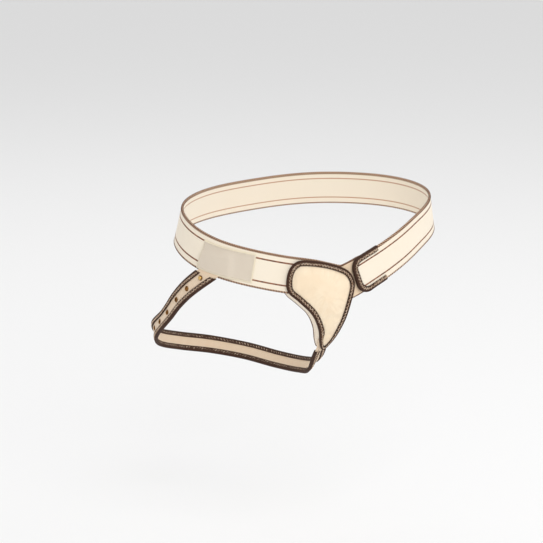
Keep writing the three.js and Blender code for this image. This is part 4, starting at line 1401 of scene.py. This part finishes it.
def strap_plate():
    along, across, half = strap_grid()
    for place in eyelet_places:
        gap = np.hypot(along - place, across)
        near = np.abs(gap - HOLE_RADIUS) < HOLE_CATCH
        scale = np.where(near, HOLE_RADIUS / np.maximum(gap, 1e-6), 1)
        along = place + (along - place) * scale
        across = across * scale
    cell_along = (along[:-1, :-1] + along[1:, 1:]) / 2
    cell_across = (across[:-1, :-1] + across[1:, 1:]) / 2
    keep = np.ones(cell_along.shape, bool)
    for place in eyelet_places:
        keep &= np.hypot(cell_along - place, cell_across) > HOLE_RADIUS
    thick = STRAP_THICKNESS / 2 * soft_edge(half - np.abs(across), STRAP_THICKNESS)
    front, back = strap_point(along, across, thick), strap_point(along, across, -thick)
    return plate("strap_elastic", front, back, {"along": along, "across": across}, keep)


strap = dress(strap_plate(), strap_finish(), "strap_elastic", "perineal_strap")

# %% [markdown]
# ## The strap's bindings
# Both edges of the strap are bound like the pad. The bindings begin at the belt's lower edge, which
# crosses the strap at a slant, so their first few centimetres are cut and sewn at that slant too.
# The same helper that bound the tab and the pad is used again with another place function.

# %% Bind the strap
bound_from = STRAP_LAP + STRAP_BOUND_START
bound_to = STRAP_LENGTH - STRAP_SEWN - 0.6 * STRAP_TIP_WIDTH


def strap_edge(sign):
    """The place function of one edge: 1 for the upper, -1 for the lower."""

    def place(distance, inset, out):
        across = sign * (strap_half(distance) - inset)
        skew = STRAP_SKEW * np.maximum(0, 1 - (distance - bound_from) / STRAP_SQUARING)
        return strap_point(distance + skew * across, across, out)

    return place


for name, sign in (("upper", 1), ("lower", -1)):
    node = f"strap_binding_{name}"
    pieces = bound_edge(node, (bound_from, bound_to), strap_edge(sign), STRAP_THICKNESS)
    dress_binding(pieces, node)

# %% [markdown]
# ## Brass eyelets and a stud
# Each hole has a brass eyelet. It is a tube whose ends are rolled outward, so its rim is round and
# catches a bright ring of light. It is turned as on a lathe: a profile goes once round a line square
# to the strap. A small brass stud sits in the first eyelet. The eyelets' brass is made darker as
# painted shade, and the stud's brass paler as a painted highlight.

# %% Turn the brass
BRASS_SIDES = 40


def brass_finish(name, roughness, light, dark):
    finish = new_finish(name, roughness, metallic=1.0)
    colour(finish, tint(finish, ramp(finish, cloud(finish, 500.0), 0.35, 0.65), light, dark))
    return finish


# The eyelets' darker brass is painted shade, and the stud's paler brass is a painted highlight.
shaded_brass = brass_finish("shaded_brass", 0.32, shade(158, 112, 58), shade(108, 72, 36))
highlit_brass = brass_finish("highlit_brass", 0.2, shade(246, 214, 150), shade(220, 178, 108))
EYELET_RIM = [
    (1.6, 1.2), (1.7, 1.62), (1.95, 1.86), (2.25, 1.93), (2.55, 1.84), (2.8, 1.6), (2.9, 1.32),
    (2.6, 1.28), (2.2, 1.3),
]
EYELET_PROFILE = [(1.6, 0.0)] + EYELET_RIM + [(radius, -out) for radius, out in reversed(EYELET_RIM)]
STUD_PROFILE = [
    (1.6, -2.9), (2.5, -2.85), (2.8, -2.6), (2.9, -2.3), (2.6, -2.21), (1.2, -2.2), (1.2, 2.2),
    (1.9, 2.2), (2.1, 2.45), (1.95, 2.85), (1.5, 3.15), (0.8, 3.3),
]
STUD_BACK = 2.9 * MM
STUD_FRONT = 3.33 * MM


def turned(place, profile):
    """Points of a profile of (radius, out) turned round a line square to the strap."""
    middle, side, face = strap_frame(np.array(place))
    onward = np.cross(face, side)
    angles = np.arange(BRASS_SIDES) * 2 * np.pi / BRASS_SIDES
    around = np.cos(angles)[:, None] * side + np.sin(angles)[:, None] * onward
    radius, out = np.array(profile).T * MM
    return middle + radius[:, None, None] * around[None] + out[:, None, None] * face, middle, face


for i, place in enumerate(eyelet_places):
    points = turned(place, EYELET_PROFILE)[0]
    ring = skin(f"eyelet_ring_{i + 1}", points.transpose(1, 0, 2), closed=True)
    dress(ring, shaded_brass, "brass", f"eyelet_{i + 1}")
points, middle, face = turned(eyelet_places[0], STUD_PROFILE)
stud = skin("strap_stud_turned", points, poles=[middle - STUD_BACK * face, middle + STUD_FRONT * face])
dress(stud, highlit_brass, "brass", "strap_stud")

# %% [markdown]
# ## The label
# A plain rectangle of greige satin is sewn to the belt on the right side. Its hem is folded, so its
# border is a little thicker, and a lighter stitch line runs round it. The strap's end is caught
# under its lower part, and there the label rises in a soft step.

# %% Sew on the label
LABEL_LENGTH = 62 * MM
LABEL_HEIGHT = 31 * MM
LABEL_THICKNESS = 1.2 * MM
LABEL_ARC = -0.3855 * HALF_LOOP
LABEL_DROP = 1.2 * MM
LABEL_TILT = 0.042
OVER_BELT = WEBBING_THICKNESS + LAYER_GAP
HEM_WIDTH = 2.6 * MM
HEM_DROP = 0.3 * MM
HEM_SLOPE = 0.8 * MM
LABEL_ROUNDING = 0.9 * MM
LABEL_THREAD = 0.16 * MM
LABEL_COLUMNS = 97
LABEL_ROWS = 49


def label_finish():
    finish = new_finish("greige_satin", 0.55, sheen=0.3)
    along = mark_of(finish, "along")
    across = mark_of(finish, "across")
    weave = sum_of(finish, "ADD", waves(finish, along, 0.5 * MM), waves(finish, across, 0.36 * MM))
    base = tint(finish, cloud(finish, 45.0), shade(226, 214, 197), shade(215, 201, 182))
    to_end = sum_of(finish, "SUBTRACT", LABEL_LENGTH / 2, sum_of(finish, "ABSOLUTE", along))
    to_side = sum_of(finish, "SUBTRACT", LABEL_HEIGHT / 2, sum_of(finish, "ABSOLUTE", across))
    to_edge = sum_of(finish, "MINIMUM", to_end, to_side)
    # Within about a millimetre of the label's edge the colour is paler, all round.
    paler_edge = ramp(finish, to_edge, 1.1 * MM, 0.8 * MM)
    colour(finish, tint(finish, paler_edge, base, shade(240, 228, 200)))
    relief(finish, weave, 0.05 * MM)
    return finish


lapped_corners = strap_point(0.0, np.array([-0.5, 0.5]) * STRAP_WIDTH, 0.0)
lapped_top = float(lapped_corners[:, 2].max())
label_rise = STRAP_ON_BELT + STRAP_THICKNESS / 2 + LAYER_GAP - OVER_BELT


def label_place(x, y, out):
    arc = LABEL_ARC + x * math.cos(LABEL_TILT) - y * math.sin(LABEL_TILT)
    across = -LABEL_DROP + x * math.sin(LABEL_TILT) + y * math.cos(LABEL_TILT)
    spot_arc, height = belt_place(arc, across)
    aside = np.maximum(0, np.abs(spot_arc - STRAP_ARC - STRAP_LAP / 3) - 0.9 * STRAP_WIDTH)
    above = np.maximum(0, height - lapped_top)
    bump = label_rise * (1 - ease(2 * aside / STRAP_WIDTH)) * (1 - ease(2 * above / STRAP_WIDTH))
    return on_hips(spot_arc, height, OVER_BELT + bump + out)


label_columns = np.linspace(-0.5, 0.5, LABEL_COLUMNS) * LABEL_LENGTH
label_rows = np.linspace(0.5, -0.5, LABEL_ROWS) * LABEL_HEIGHT
label_x, label_y = np.meshgrid(label_columns, label_rows, indexing="ij")
label_edge = np.minimum(LABEL_LENGTH / 2 - np.abs(label_x), LABEL_HEIGHT / 2 - np.abs(label_y))
label_top = LABEL_THICKNESS * mix(0.45, 1, ease(label_edge / LABEL_ROUNDING))
label_top = label_top - HEM_DROP * ease((label_edge - HEM_WIDTH) / HEM_SLOPE)
label_front = label_place(label_x, label_y, label_top)
label_back = label_place(label_x, label_y, 0.0)
label = plate("label_satin", label_front, label_back, {"along": label_x, "across": label_y})
dress(label, label_finish(), "label", "label_patch")


def label_stitches():
    inset = 1.9 * MM
    x_end, y_end = LABEL_LENGTH / 2 - inset, LABEL_HEIGHT / 2 - inset
    pitch, length = 2.6 * MM, 1.9 * MM
    steps = np.linspace(0, 1, 6) * length
    dip = np.array([-0.25, 0.1, 0.16, 0.16, 0.1, -0.25]) * MM
    runs = []
    for side in (-1, 1):
        starts = np.arange(-x_end, x_end - length, pitch)[:, None] + steps
        runs.append((starts, np.full_like(starts, side * y_end)))
        starts = np.arange(-y_end, y_end - length, pitch)[:, None] + steps
        runs.append((np.full_like(starts, side * x_end), starts))
    x = np.concatenate([run[0] for run in runs])
    y = np.concatenate([run[1] for run in runs])
    paths = label_place(x, y, LABEL_THICKNESS + dip[None])
    outward = unit(label_place(x, y, LABEL_THICKNESS + dip[None] + MM) - paths)
    return threads("label_stitch_thread", paths, outward, LABEL_THREAD)


label_yarn = yarn_finish("label_yarn", shade(236, 224, 196), shade(206, 190, 158), 0.6)
stitches = dress(label_stitches(), label_yarn, "label")
